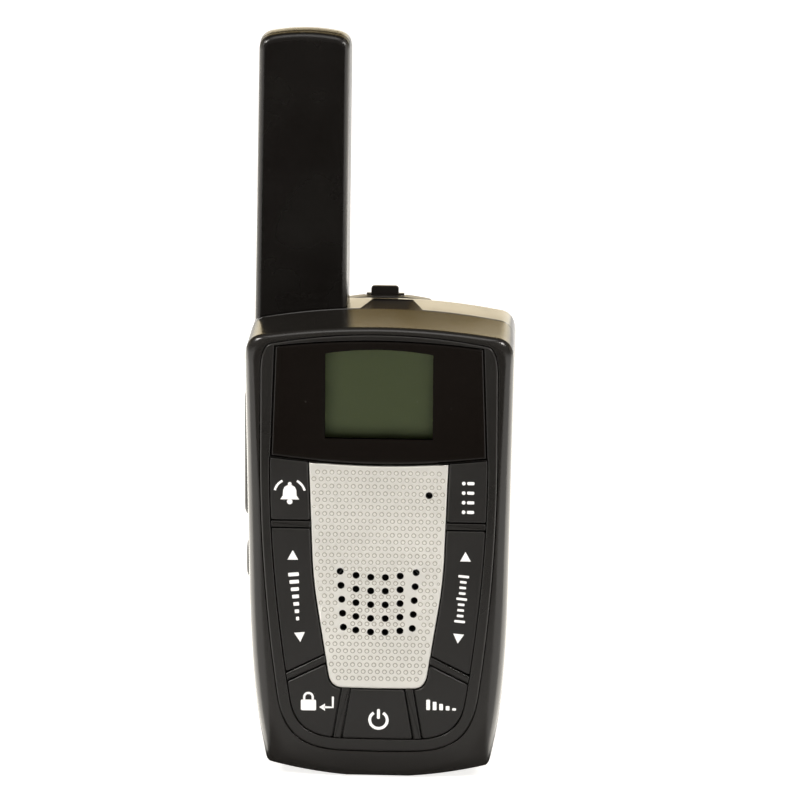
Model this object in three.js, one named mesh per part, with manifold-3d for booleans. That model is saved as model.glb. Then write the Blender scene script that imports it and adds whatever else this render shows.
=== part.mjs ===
// Handheld two way radio with a stub antenna, seven front keys, two side buttons and a belt clip.
//
// Millimetres, +Z up, the front looks along -Y. The origin is the centre of the flat land under the
// casing. Outlines are drawn in the front plane as (x, z), and a "depth" is measured from the front
// plane towards the back, so depth d lies at y = FRONT_Y + d.

import * as THREE from 'three';
import { mergeVertices } from 'three/addons/utils/BufferGeometryUtils.js';
import Module from 'manifold-3d';

const wasm = await Module();
wasm.setup();

// ---------------------------------------------------------------- driving dimensions

const BODY_DEPTH = 28;
const FRONT_Y = -BODY_DEPTH / 2;
const BODY_TOP = 104.45;
const LAND_HALF = 7;            // half width of the flat land that the radio stands on
const PARTING = 15;             // depth of the plane where the two casings meet
const PARTING_GAP = 0.15;       // each casing stops this far short of that plane
const GAP = 0.3;                // clearance between pieces that touch or slide
const WALL = 1.8;

const FACE_SIDE_ROUND = 2.6;    // how far the front face is inset from the widest outline
const FACE_LOW_ROUND = 5.2;
const FACE_TOP_DROP = 0.95;     // the top falls this much from the parting plane to the front
const FACE_TOP_ROUND = 1.5;
const FACE_BOTTOM_ROUND = 2;
const FACE_ROUND_DEPTH = 3;
const CORNER_REACH = 1.3;       // the face's top corners are longer and flatter than the parting plane's
const CORNER_LIFT = 0.9;
const WIDE_CORNER = 0.4;        // share of that where the edge rounding meets the sides
const REAR_ROUND = 3;
const REAR_SIDE_INSET = 0.4;

const BEZEL_PROUD = 0.25;       // the trim ring stands this far in front of the face
const KEY_PROUD = 0.1;
const KEY_GAP = 0.15;           // half of the groove between a key and its frame
const KEY_CAP_BACK = 1.0;
const KEY_STEM_BACK = 3.5;
const WEB_FRONT = 1.9;          // web plate of the bezel, behind the keys
const WEB_BACK = 2.4;
const LENS_GAP = 0.1;
const LENS_BACK = 1.1;
const GRILLE_FRONT = 0.1;
const GRILLE_BACK = 1.6;
const STEM_HALF = 1.1;          // half width of a key's square stem
const FLOOR_FRONT = 2.6;        // floor of the pocket in the front casing
const FLOOR_BACK = 4.0;
const MAT_FRONT = 4.3;
const MAT_BACK = 5.0;
const BOARD_FRONT = 5.3;
const BOARD_BACK = 6.5;
const PARTS_FRONT = 6.8;        // front of the pieces that stand on the back of the board

const LCD_HALF = 14.6;
const LCD_LOW = 76.8;
const LCD_TOP = 98.9;
const SCREEN_HALF = 12.6;       // opening in the web that shows the display
const SCREEN_LOW = 77.4;
const SCREEN_TOP = 99.2;

const SPEAKER_Z = 40.3;
const SPEAKER_R = 13;
const HOLE_R = 0.7;
const HOLE_ROW_PITCH = 3.17;
const SPEAKER_OPENING_R = 11.4;
const MIC_X = 11.2;
const MIC_Z = 65.7;
const MIC_R = 2.9;

const TALK_LOW = 58.1;          // talk button, from its low end to its high end
const TALK_HIGH = 87.4;
const MONITOR_LOW = 43.5;
const MONITOR_HIGH = 52.8;
const SIDE_BUTTON_DEPTH = 9.6;  // depth of the side buttons' centre line
const SIDE_BUTTON_WIDTH = 6.4;
const TALK_CREST = 30.15;       // how far the side buttons stand out from the middle
const MONITOR_CREST = 29.7;
const FLANGE_OUT = 26.1;        // the flange that keeps a side button in, from its outer to its inner face
const FLANGE_IN = 25.4;
const SWITCH_OUT = 24;
const SWITCH_DEEP = 3.6;

const CELL_R = 5.2;             // AAA cell
const CELL_LENGTH = 44.5;
const CELL_PITCH = 10.9;
const CELL_DEPTH = 20.7;
const CELL_LOW = 17.5;
const CELL_TIP_R = 1.9;
const CELL_TIP = 0.8;
const SPRING_R = 2.6;
const SPRING_LENGTH = 1.9;
const TRAY_HALF = 16.5;
const TRAY_LOW = 13;
const TRAY_HIGH = 65;
const TRAY_FRONT = 14.1;
const TRAY_WALL = 1.2;
const INNER_BACK = 24.6;        // inside of the rear casing's back wall
const DOOR_HALF = 18.8;
const DOOR_TOP = 68;
const DOOR_FRONT = 26.3;

const ANTENNA_TOP = 165.2;
const ANTENNA_FRONT = 16;
const ANTENNA_BACK = 28;
const COIL_X = -17.6;
const COIL_DEPTH = 22;
const COIL_R = 3.4;

const CLIP_HALF = 10.6;
const CARRIER_LOW = 72;
const CARRIER_TOP = 103.7;
const CARRIER_FRONT = 28.3;
const CARRIER_BACK = 31.7;
const CLIP_PIN_Z = 94;
const CLIP_PIN_DEPTH = 33.6;
const CLIP_PIN_R = 1;
const EAR_R = 2.2;
const EAR_WIDTH = 2;
const EARS_LOW = [-9.4, 7.4];     // the low x of the carrier's two ears
const KNUCKLE_R = 1.8;
const KNUCKLE_WIDTH = 2.5;
const KNUCKLES_LOW = [-6.9, 4.4];
const ARM_HALF = 9;
const RAIL_LOW = 76;
const RAIL_TOP = 97;
const RAIL_NECK_HALF = 4;
const RAIL_HEAD_HALF = 6.4;
const RAIL_HEAD_FRONT = 29.1;
const RAIL_HEAD_BACK = 30.1;
const LATCH_HALF = 3.05;
const LATCH_FRONT = 30.3;
const LATCH_BACK = 31.4;
const LATCH_LOW = 98.6;
const LATCH_TOP = 105.9;
const LATCH_FEET_HALF = 4.2;
const LATCH_FEET_LOW = CARRIER_TOP + 0.1;
const LATCH_FEET_TOP = CARRIER_TOP + 0.6;

const SCREWS = [[-22.8, 90.5], [22.8, 90.5], [-21.4, 24], [21.4, 24]];
const SCREW_R = 1.15;
const SCREW_HEAD_R = 2.1;
const SCREW_HEAD_FRONT = 19.3;
const SCREW_HEAD_BACK = 20.7;
const BOSS_CLEARANCE_R = 3.1;

const JACK_Z = 83;
const JACK_DEPTH = 10.5;
const JACK_COVER_HALF_DEPTH = 3.4;
const JACK_COVER_HALF_HEIGHT = 6;
const JACK_COVER_IN = 28.5;

// ---------------------------------------------------------------- materials

const finish = (color, roughness, metalness = 0) => ({ color, roughness, metalness });
const BLACK_PLASTIC = finish(0x1b1917, 0.42);
const BLACK_GLOSS = finish(0x120f0d, 0.08);
const KEY_GREY = finish(0x2d2b29, 0.55);
const SILVER = finish(0xcfccc2, 0.35, 0.6);
const LCD_GREEN = finish(0x46503a, 0.3);
const RUBBER = finish(0x222222, 0.8);
const STEEL = finish(0xb4b4b0, 0.35, 1);
const BRASS = finish(0xb59a4c, 0.35, 1);
const BOARD_GREEN = finish(0x1f5a35, 0.5);
const WHITE_PLASTIC = finish(0xe8e6de, 0.5);
const CONE_PAPER = finish(0x37332e, 0.9);
const CELL_WRAP = finish(0x2f4d80, 0.4);

// ---------------------------------------------------------------- solids

// A closed three.js geometry as a manifold solid, and back again.
function toSolid(geometry) {
  const plain = geometry.clone();
  plain.deleteAttribute('normal');
  plain.deleteAttribute('uv');
  const merged = mergeVertices(plain, 1e-4);
  return new wasm.Manifold(new wasm.Mesh({
    numProp: 3,
    vertProperties: new Float32Array(merged.attributes.position.array),
    triVerts: new Uint32Array(merged.index.array),
  }));
}

function toGeometry(solid) {
  const mesh = solid.getMesh();
  const geometry = new THREE.BufferGeometry();
  geometry.setAttribute('position', new THREE.BufferAttribute(new Float32Array(mesh.vertProperties), 3));
  geometry.setIndex(new THREE.BufferAttribute(new Uint32Array(mesh.triVerts), 1));
  return geometry;
}

// An outline in the front plane, made solid from one depth to another.
function plate(shape, front, back) {
  const geometry = new THREE.ExtrudeGeometry(shape, { depth: back - front, bevelEnabled: false });
  geometry.rotateX(Math.PI / 2);
  geometry.translate(0, FRONT_Y + back, 0);
  return geometry;
}

// A side profile of (depth, z) points, made solid from one x to another.
function sideProfile(points, low, high) {
  const shape = new THREE.Shape(points.map(([depth, z]) => new THREE.Vector2(depth, z)));
  const geometry = new THREE.ExtrudeGeometry(shape, { depth: high - low, bevelEnabled: false });
  geometry.rotateX(Math.PI / 2);
  geometry.rotateZ(Math.PI / 2);
  geometry.translate(low, FRONT_Y, 0);
  return geometry;
}

// A box from low to high corner, given as [x, depth, z].
function block(low, high) {
  const size = high.map((value, axis) => value - low[axis]);
  const geometry = new THREE.BoxGeometry(...size);
  geometry.translate(low[0] + size[0] / 2, FRONT_Y + low[1] + size[1] / 2, low[2] + size[2] / 2);
  return geometry;
}

const blockSolid = (low, high) => toSolid(block(low, high));

// A round bar along the depth axis.
function depthRod(x, z, radius, front, back, sides = 16) {
  const geometry = new THREE.CylinderGeometry(radius, radius, back - front, sides);
  geometry.translate(x, FRONT_Y + (front + back) / 2, z);
  return geometry;
}

// A round bar along x.
function crossRod(depth, z, radius, low, high, sides = 16) {
  const geometry = new THREE.CylinderGeometry(radius, radius, high - low, sides);
  geometry.rotateZ(-Math.PI / 2);
  geometry.translate((low + high) / 2, FRONT_Y + depth, z);
  return geometry;
}

// A turned piece about the depth axis: profile points are [radius, depth].
function turned(x, z, profile, sides = 24) {
  const points = profile.map(([radius, depth]) => new THREE.Vector2(radius, FRONT_Y + depth));
  const geometry = new THREE.LatheGeometry(points, sides);
  geometry.translate(x, 0, z);
  return geometry;
}

// Closed rings of equal length, joined by side walls and closed at both ends.
function loft(rings) {
  const count = rings[0].length;
  const positions = rings.flat().flatMap((point) => [point.x, point.y, point.z]);
  const index = [];
  for (let ring = 0; ring + 1 < rings.length; ring += 1) {
    for (let i = 0; i < count; i += 1) {
      const a = ring * count + i;
      const b = ring * count + (i + 1) % count;
      index.push(a, b + count, b, a, a + count, b + count);
    }
  }
  const flat = rings[0].map((point) => new THREE.Vector2(point.x, point.z));
  const last = (rings.length - 1) * count;
  for (const [a, b, c] of THREE.ShapeUtils.triangulateShape(flat, [])) {
    index.push(a, b, c);
    index.push(last + a, last + c, last + b);
  }
  const geometry = new THREE.BufferGeometry();
  geometry.setAttribute('position', new THREE.Float32BufferAttribute(positions, 3));
  geometry.setIndex(index);
  return geometry;
}

function helix(centreX, centreDepth, low, high, radius, wire, turns, steps, sides) {
  class Helix extends THREE.Curve {
    getPoint(t) {
      const angle = 2 * Math.PI * turns * t;
      return new THREE.Vector3(
        centreX + radius * Math.cos(angle),
        FRONT_Y + centreDepth + radius * Math.sin(angle),
        low + (high - low) * t,
      );
    }
  }
  const section = new THREE.Shape();
  for (let i = 0; i < sides; i += 1) {
    const angle = 2 * Math.PI * i / sides;
    const method = i === 0 ? 'moveTo' : 'lineTo';
    section[method](wire * Math.cos(angle), wire * Math.sin(angle));
  }
  const options = { steps: turns * steps, extrudePath: new Helix(), bevelEnabled: false };
  return new THREE.ExtrudeGeometry(section, options);
}

// ---------------------------------------------------------------- outlines in the front plane

// A closed outline from its right half, which runs from the bottom centre to the top centre.
function mirrored(draw, segments = 5) {
  const path = new THREE.Path();
  draw(path);
  const right = path.getPoints(segments);
  const left = right.slice(1, -1).reverse().map((point) => new THREE.Vector2(-point.x, point.y));
  return right.concat(left);
}

// The casing's outline. "side" and "low" draw in the upper and the lower part of its sides.
function bodyOutline({ side = 0, low = side, top = 0, bottom = 0, corner = 0 }) {
  const middle = (side + low) / 2;
  const cornerEnd = 25.8 - side - CORNER_REACH * corner;
  const cornerRise = CORNER_LIFT * corner - top;
  return mirrored((path) => {
    path.moveTo(0, bottom);
    path.lineTo(LAND_HALF - low / 4, bottom);
    path.quadraticCurveTo(15.5 - low, 0.63 + bottom, 24 - low, 2.77 + bottom);
    path.quadraticCurveTo(24.75 - low, 2.96 + bottom, 25.05 - low, 4 + bottom);
    path.quadraticCurveTo(28.3 - low, 16, 28.85 - middle, 42);
    path.lineTo(29.7 - side, 96.8 - top);
    path.quadraticCurveTo(29.7 - side, 101.25 + cornerRise, cornerEnd, 101.95 + cornerRise);
    path.quadraticCurveTo(cornerEnd / 2, BODY_TOP - top, 0, BODY_TOP - top);
  });
}

// The outer edge of the trim ring round the lens and the keys. "grow" makes it wider all round.
function bezelOutline(grow) {
  return mirrored((path) => {
    path.moveTo(0, 6.33 - grow);
    path.lineTo(7, 6.45 - grow);
    path.bezierCurveTo(16.2 + grow, 6.6 - grow, 21 + grow, 9.3 - grow, 22.4 + grow, 19.5);
    path.quadraticCurveTo(26.22 + grow, 47, 26.22 + grow, 74);
    path.lineTo(26.15 + grow, 93.5);
    path.quadraticCurveTo(26.05 + grow, 99.7 + grow, 23.4, 99.83 + grow);
    path.quadraticCurveTo(12, 102 + grow, 0, 102 + grow);
  });
}

// The field that the keys fill: the inner edge of the trim ring, up to the lens.
function keyField(shrink) {
  return mirrored((path) => {
    path.moveTo(0, 9.05 + shrink);
    path.lineTo(8, 9.1 + shrink);
    path.bezierCurveTo(14.8 - shrink, 9.2 + shrink, 18.8 - shrink, 11.6 + shrink, 19.75 - shrink, 18.5);
    path.quadraticCurveTo(24.25 - shrink, 47.5, 24.25 - shrink, 72);
    path.lineTo(24.2 - shrink, 74.05 - shrink);
    path.quadraticCurveTo(12, 72.5 - shrink, 0, 72.5 - shrink);
  });
}

function lensOutline(shrink) {
  return mirrored((path) => {
    path.moveTo(0, 72.6 + shrink);
    path.quadraticCurveTo(12, 72.6 + shrink, 23.95 - shrink, 74.2 + shrink);
    path.lineTo(23.05 - shrink, 99.25 - shrink);
    path.quadraticCurveTo(11.3, 100.75 - shrink, 0, 100.75 - shrink);
  });
}

function grilleOutline(grow) {
  return mirrored((path) => {
    path.moveTo(0, 20.85 - grow);
    path.lineTo(7.9, 20.95 - grow);
    path.quadraticCurveTo(10.5 + grow, 21 - grow, 11 + grow, 24.2);
    path.lineTo(13.4 + grow, 39.5);
    path.quadraticCurveTo(14.35 + grow, 45.5, 14.6 + grow, 51);
    path.lineTo(15.4 + grow, 72.75 + grow);
    path.quadraticCurveTo(7.7, 72.1 + grow, 0, 72.1 + grow);
  });
}

function polygon(points) {
  return points.map(([x, z]) => new THREE.Vector2(x, z));
}

function rectangle(left, low, right, high) {
  return polygon([[left, low], [right, low], [right, high], [left, high]]);
}

const square = (x, z, half) => rectangle(x - half, z - half, x + half, z + half);

function circle(x, z, radius, sides) {
  const points = [];
  for (let i = 0; i < sides; i += 1) {
    const angle = 2 * Math.PI * i / sides;
    points.push(new THREE.Vector2(x + radius * Math.cos(angle), z + radius * Math.sin(angle)));
  }
  return points;
}

// A strip of the given half width round the line from one point to another.
function strip([x1, z1], [x2, z2], half) {
  const along = new THREE.Vector2(x2 - x1, z2 - z1).normalize();
  const across = new THREE.Vector2(-along.y, along.x).multiplyScalar(half);
  const start = new THREE.Vector2(x1, z1);
  const end = new THREE.Vector2(x2, z2);
  const lower = [start.clone().sub(across), end.clone().sub(across)];
  return lower.concat(end.add(across), start.add(across));
}

const ring = (outline, depth) => outline.map((point) => new THREE.Vector3(point.x, FRONT_Y + depth, point.y));
const outlineSolid = (outline, front, back) => toSolid(plate(new THREE.Shape(outline), front, back));

// The centre lines of the right-hand ribs between the keys; the left side mirrors them.
const RIBS = [
  { from: [13, 58.65], to: [24.6, 58.65], half: 0.85 },
  { from: [8, 29.52], to: [21.6, 22.62], half: 0.95 },
  { from: [6.7, 22.76], to: [9.1, 8.6], half: 0.98 },
];

function ribStrips(extra) {
  const strips = [];
  for (const { from, to, half } of RIBS) {
    for (const side of [1, -1]) {
      strips.push(strip([side * from[0], from[1]], [side * to[0], to[1]], half + extra));
    }
  }
  return strips;
}

// ---------------------------------------------------------------- casings

function frontBody(grow = 0) {
  const rings = [];
  for (const angle of [0, 30, 60, 90]) {
    const turn = THREE.MathUtils.degToRad(angle);
    const inward = 1 - Math.sin(turn);
    rings.push(ring(bodyOutline({
      side: FACE_SIDE_ROUND * inward - grow,
      low: FACE_LOW_ROUND * inward - grow,
      top: FACE_TOP_DROP + FACE_TOP_ROUND * inward - grow,
      bottom: FACE_BOTTOM_ROUND * inward - grow,
      corner: WIDE_CORNER + (1 - WIDE_CORNER) * inward,
    }), FACE_ROUND_DEPTH * (1 - Math.cos(turn))));
  }
  rings.push(ring(bodyOutline({ side: 0.3 - grow, top: -grow, bottom: -grow }), PARTING - PARTING_GAP));
  return loft(rings);
}

function rearBody(grow = 0) {
  const outline = (inward) => bodyOutline({
    side: REAR_SIDE_INSET + inward - grow,
    top: inward - grow,
    bottom: inward - grow,
  });
  const rings = [ring(outline(0), PARTING + PARTING_GAP - grow)];
  for (const angle of [0, 30, 60, 90]) {
    const turn = THREE.MathUtils.degToRad(angle);
    const depth = BODY_DEPTH - REAR_ROUND * (1 - Math.sin(turn));
    rings.push(ring(outline(REAR_ROUND * (1 - Math.cos(turn))), depth + grow));
  }
  return loft(rings);
}

// The hollow inside both casings, from one depth to another.
function hollow(front, back) {
  const inset = { side: WALL + 0.3, low: WALL + 0.9, top: WALL + 0.6, bottom: WALL };
  return outlineSolid(bodyOutline(inset), front, back);
}

const sideButtonSlot = (low, high, extra) => blockSolid(
  [-32, SIDE_BUTTON_DEPTH - SIDE_BUTTON_WIDTH / 2 - extra, low - extra],
  [-20, SIDE_BUTTON_DEPTH + SIDE_BUTTON_WIDTH / 2 + extra, high + extra],
);

function jackCoverSolid(extra) {
  const halfDepth = JACK_COVER_HALF_DEPTH + extra;
  const halfHeight = JACK_COVER_HALF_HEIGHT + extra;
  const low = [JACK_COVER_IN - extra, JACK_DEPTH - halfDepth, JACK_Z - halfHeight];
  return blockSolid(low, [32, JACK_DEPTH + halfDepth, JACK_Z + halfHeight]);
}

function frontCasing() {
  let solid = toSolid(frontBody());
  solid = solid.subtract(hollow(FLOOR_BACK, PARTING + 1));
  solid = solid.subtract(outlineSolid(bezelOutline(KEY_GAP), -1, FLOOR_FRONT));
  const displayHole = rectangle(-LCD_HALF - 0.6, LCD_LOW - 0.6, LCD_HALF + 0.6, LCD_TOP + 0.5);
  solid = solid.subtract(outlineSolid(displayHole, 0, FLOOR_BACK + 1));
  solid = solid.subtract(outlineSolid(circle(0, SPEAKER_Z, SPEAKER_OPENING_R, 20), 0, FLOOR_BACK + 1));
  solid = solid.subtract(outlineSolid(circle(MIC_X, MIC_Z, 4.3, 16), 0, FLOOR_BACK + 1));
  for (const { holes } of Object.values(KEYS)) {
    for (const [x, z] of holes) {
      solid = solid.subtract(outlineSolid(square(x, z, STEM_HALF + 0.8), 0, FLOOR_BACK + 1));
    }
  }
  for (const [x, z] of SCREWS) {
    solid = solid.add(toSolid(depthRod(x, z, 2.7, FLOOR_BACK - 0.5, PARTING - PARTING_GAP, 12)));
    solid = solid.subtract(toSolid(depthRod(x, z, 1.4, FLOOR_BACK + 2, PARTING + 1, 12)));
  }
  solid = solid.subtract(sideButtonSlot(TALK_LOW, TALK_HIGH, GAP));
  solid = solid.subtract(sideButtonSlot(MONITOR_LOW, MONITOR_HIGH, GAP));
  solid = solid.subtract(jackCoverSolid(GAP));
  solid = solid.subtract(toSolid(crossRod(JACK_DEPTH, JACK_Z, 2.3, 26, 32, 12)));
  return toGeometry(solid);
}

// A trapezoid scoop in the top of the rear casing, where a thumb reaches the clip's latch.
const SCOOP = [[15, -5.1, 9, 101.6], [24.4, -2.6, 6.3, 105.2]];

function thumbScoop() {
  const corners = [];
  for (const [depth, left, right, floor] of SCOOP) {
    corners.push([left, right].map((x) => [x, depth, floor]), [left, right].map((x) => [x, depth, 107]));
  }
  const [[a, b], [c, d], [e, f], [g, h]] = corners;
  const points = [a, b, c, d, e, f, g, h].flatMap(([x, depth, z]) => [x, FRONT_Y + depth, z]);
  const geometry = new THREE.BufferGeometry();
  geometry.setAttribute('position', new THREE.Float32BufferAttribute(points, 3));
  const faces = [[0, 1, 3, 2], [5, 4, 6, 7], [4, 0, 2, 6], [1, 5, 7, 3], [2, 3, 7, 6], [4, 5, 1, 0]];
  geometry.setIndex(faces.flatMap(([p, q, r, s]) => [p, q, r, p, r, s]));
  return toSolid(geometry);
}

function doorCutter(extra) {
  return blockSolid([-DOOR_HALF - extra, DOOR_FRONT - extra, -5], [DOOR_HALF + extra, 31, DOOR_TOP + extra]);
}

function rearCasing() {
  const trayLow = [-TRAY_HALF - TRAY_WALL, TRAY_FRONT, TRAY_LOW - TRAY_WALL];
  const trayHigh = [TRAY_HALF + TRAY_WALL, INNER_BACK + 0.5, TRAY_HIGH + TRAY_WALL];
  let solid = toSolid(rearBody());
  solid = solid.subtract(hollow(PARTING - 1, INNER_BACK));
  solid = solid.add(blockSolid(trayLow, trayHigh));
  solid = solid.subtract(blockSolid([-TRAY_HALF, TRAY_FRONT + 1, TRAY_LOW], [TRAY_HALF, 30, TRAY_HIGH]));
  solid = solid.subtract(doorCutter(GAP));
  const neckEnd = [RAIL_NECK_HALF, RAIL_HEAD_FRONT + 0.1, RAIL_TOP];
  const headEnd = [RAIL_HEAD_HALF, RAIL_HEAD_BACK, RAIL_TOP];
  solid = solid.add(blockSolid([-RAIL_NECK_HALF, BODY_DEPTH - 1, RAIL_LOW], neckEnd));
  solid = solid.add(blockSolid([-RAIL_HEAD_HALF, RAIL_HEAD_FRONT, RAIL_LOW], headEnd));
  for (const [x, z] of SCREWS) {
    solid = solid.add(toSolid(depthRod(x, z, 3.2, PARTING + PARTING_GAP, INNER_BACK + 0.5, 12)));
    solid = solid.subtract(toSolid(depthRod(x, z, 1.5, PARTING - 1, 30, 12)));
    solid = solid.subtract(toSolid(depthRod(x, z, SCREW_HEAD_R + 0.4, SCREW_HEAD_FRONT - 0.3, 30, 12)));
  }
  solid = solid.subtract(blockSolid([-24.3, 17.7, 94], [-11, 26.3, 110]));
  solid = solid.subtract(thumbScoop());
  return toGeometry(solid);
}

function batteryDoor() {
  return toGeometry(toSolid(rearBody()).intersect(doorCutter(0)));
}

// ---------------------------------------------------------------- face

function faceBezel() {
  let solid = outlineSolid(bezelOutline(0), -BEZEL_PROUD, WEB_BACK);
  solid = solid.subtract(outlineSolid(lensOutline(-0.12), -1, LENS_BACK + 0.15));
  const field = outlineSolid(keyField(0), -1, WEB_FRONT);
  const [first, ...others] = ribStrips(-KEY_GAP);
  let ribs = outlineSolid(first, -BEZEL_PROUD, WEB_FRONT);
  for (const outline of others) {
    ribs = ribs.add(outlineSolid(outline, -BEZEL_PROUD, WEB_FRONT));
  }
  ribs = ribs.subtract(outlineSolid(grilleOutline(KEY_GAP), -1, WEB_FRONT + 0.2));
  solid = solid.subtract(field.subtract(ribs));
  const screen = rectangle(-SCREEN_HALF, SCREEN_LOW, SCREEN_HALF, SCREEN_TOP);
  solid = solid.subtract(outlineSolid(screen, 0, WEB_BACK + 1));
  solid = solid.subtract(outlineSolid(circle(0, SPEAKER_Z, SPEAKER_OPENING_R, 20), 0, WEB_BACK + 1));
  solid = solid.subtract(outlineSolid(circle(MIC_X, MIC_Z, 1.2, 10), 0, WEB_BACK + 1));
  for (const { holes } of Object.values(KEYS)) {
    for (const [x, z] of holes) {
      solid = solid.subtract(outlineSolid(square(x, z, STEM_HALF + 0.4), 0, WEB_BACK + 1));
    }
  }
  return toGeometry(solid);
}

function displayLens() {
  return plate(new THREE.Shape(lensOutline(LENS_GAP)), 0, LENS_BACK);
}

// Speaker holes: rows that sag in the middle, in columns that draw together downwards.
function speakerHoles() {
  const holes = [];
  for (let row = 0; row < 5; row += 1) {
    for (const column of [1.62, 4.9, 8.43 - 0.19 * row]) {
      const z = SPEAKER_Z + 2 * HOLE_ROW_PITCH - HOLE_ROW_PITCH * row + 0.018 * column * column;
      holes.push([-column, z], [column, z]);
    }
  }
  return holes;
}

function speakerGrille() {
  const shape = new THREE.Shape(grilleOutline(0));
  for (const [x, z] of speakerHoles()) {
    shape.holes.push(new THREE.Path(circle(x, z, HOLE_R, 8)));
  }
  shape.holes.push(new THREE.Path(circle(MIC_X, MIC_Z, HOLE_R, 8)));
  return plate(shape, GRILLE_FRONT, GRILLE_BACK);
}

// Each key is the part of the key field inside its region, with a stem through every hole in the web.
const KEYS = {
  call_key: { region: [[-26, 58.65], [-14, 58.65], [-14, 76], [-26, 76]], holes: [[-19.6, 65.5]] },
  mode_key: { region: [[14, 58.65], [26, 58.65], [26, 76], [14, 76]], holes: [[19.6, 65.5]] },
  volume_rocker: {
    region: [[-26, 58.65], [-26, 24.85], [-22, 22.62], [-11, 28], [-11, 58.65]],
    holes: [[-18.9, 51.5], [-17.3, 33]],
  },
  channel_rocker: {
    region: [[26, 58.65], [11, 58.65], [11, 28], [22, 22.62], [26, 24.85]],
    holes: [[18.9, 51.5], [17.3, 33]],
  },
  lock_enter_key: {
    region: [[-22, 22.62], [-22, 5], [-9.71, 5], [-7.04, 20.75], [-7.04, 24], [-11, 28]],
    holes: [[-13.4, 15.5]],
  },
  power_key: { region: [[-7.04, 20.75], [-9.71, 5], [9.71, 5], [7.04, 20.75]], holes: [[0, 13.8]] },
  hi_lo_key: {
    region: [[22, 22.62], [11, 28], [7.04, 24], [7.04, 20.75], [9.71, 5], [22, 5]],
    holes: [[13.4, 15.5]],
  },
};

function key({ region, holes }) {
  let solid = outlineSolid(keyField(KEY_GAP), -KEY_PROUD, KEY_CAP_BACK);
  solid = solid.intersect(outlineSolid(polygon(region), -1, 2));
  solid = solid.subtract(outlineSolid(grilleOutline(2 * KEY_GAP), -1, 2));
  for (const groove of ribStrips(KEY_GAP)) {
    solid = solid.subtract(outlineSolid(groove, -1, 2));
  }
  for (const [x, z] of holes) {
    solid = solid.add(outlineSolid(square(x, z, STEM_HALF), KEY_CAP_BACK - 0.1, KEY_STEM_BACK));
  }
  return toGeometry(solid);
}

// ---------------------------------------------------------------- behind the face

function keypadMat() {
  const outline = mirrored((path) => {
    path.moveTo(0, 10.6);
    path.lineTo(14, 10.6);
    path.quadraticCurveTo(19.6, 11, 20.4, 24);
    path.lineTo(22.6, 71);
    path.lineTo(0, 71);
  });
  let solid = outlineSolid(outline, MAT_FRONT, MAT_BACK);
  solid = solid.subtract(outlineSolid(circle(0, SPEAKER_Z, SPEAKER_R + 0.4, 24), 0, 8));
  solid = solid.subtract(outlineSolid(circle(MIC_X, MIC_Z, 4.6, 12), 0, 8));
  for (const [x, z] of SCREWS) {
    solid = solid.subtract(outlineSolid(circle(x, z, BOSS_CLEARANCE_R, 10), 0, 8));
  }
  return toGeometry(solid);
}

function mainBoard() {
  const edge = bodyOutline({ side: 5.6, low: 4.4, top: 6, bottom: 5 });
  let solid = outlineSolid(edge, BOARD_FRONT, BOARD_BACK);
  solid = solid.subtract(outlineSolid(circle(0, SPEAKER_Z, SPEAKER_R + 0.4, 24), 0, 8));
  for (const [x, z] of SCREWS) {
    solid = solid.subtract(outlineSolid(circle(x, z, BOSS_CLEARANCE_R, 10), 0, 8));
  }
  return toGeometry(solid);
}

function speakerFrame() {
  return turned(0, SPEAKER_Z, [
    [10.6, 4.7], [SPEAKER_R, 4.7], [SPEAKER_R, 6.6], [9, 9.6], [3.4, 9.6],
    [3.4, 9], [8.4, 9], [10.6, 6.4], [10.6, 4.7],
  ]);
}

function speakerCone() {
  return turned(0, SPEAKER_Z, [[0, 7.2], [3, 8.1], [10, 5.2], [10.3, 5.5], [3.1, 8.5], [0, 7.6]], 20);
}

function microphoneBoot() {
  const inner = MIC_R + 0.4;
  const outer = MIC_R + 1;
  const base = [[0.8, 2.7], [outer, 2.7]];
  const rim = [[outer, 4.9], [inner, 4.9], [inner, 3.3], [0.8, 3.3], [0.8, 2.7]];
  return turned(MIC_X, MIC_Z, [...base, ...rim], 14);
}

function sideButton(low, high, proud) {
  const half = SIDE_BUTTON_WIDTH / 2;
  const end = half * 0.95;
  const points = [];
  for (const [centre, start] of [[high - end, 0], [low + end, Math.PI]]) {
    for (let i = 0; i <= 6; i += 1) {
      const angle = start + Math.PI * i / 6;
      points.push(new THREE.Vector2(half * Math.cos(angle), centre + end * Math.sin(angle)));
    }
  }
  const options = { depth: proud - FLANGE_IN, bevelEnabled: false };
  const cap = new THREE.ExtrudeGeometry(new THREE.Shape(points), options);
  cap.rotateX(Math.PI / 2);
  cap.rotateZ(-Math.PI / 2);
  cap.translate(-FLANGE_IN, FRONT_Y + SIDE_BUTTON_DEPTH, 0);
  const edge = 0.8;
  const near = SIDE_BUTTON_DEPTH - half - edge;
  const far = SIDE_BUTTON_DEPTH + half + edge;
  const flange = blockSolid([-FLANGE_OUT, near, low - edge], [-FLANGE_IN, far, high + edge]);
  return toGeometry(toSolid(cap).add(flange));
}

function screwPiece([x, z]) {
  const tip = [[0, 7.5], [0.9, 8.2], [SCREW_R, 8.6], [SCREW_R, SCREW_HEAD_FRONT]];
  const head = [[SCREW_HEAD_R, SCREW_HEAD_FRONT], [SCREW_HEAD_R, SCREW_HEAD_BACK], [0.8, SCREW_HEAD_BACK]];
  return turned(x, z, [...tip, ...head, [0, SCREW_HEAD_BACK - 0.5]], 12);
}

// ---------------------------------------------------------------- antenna

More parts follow.
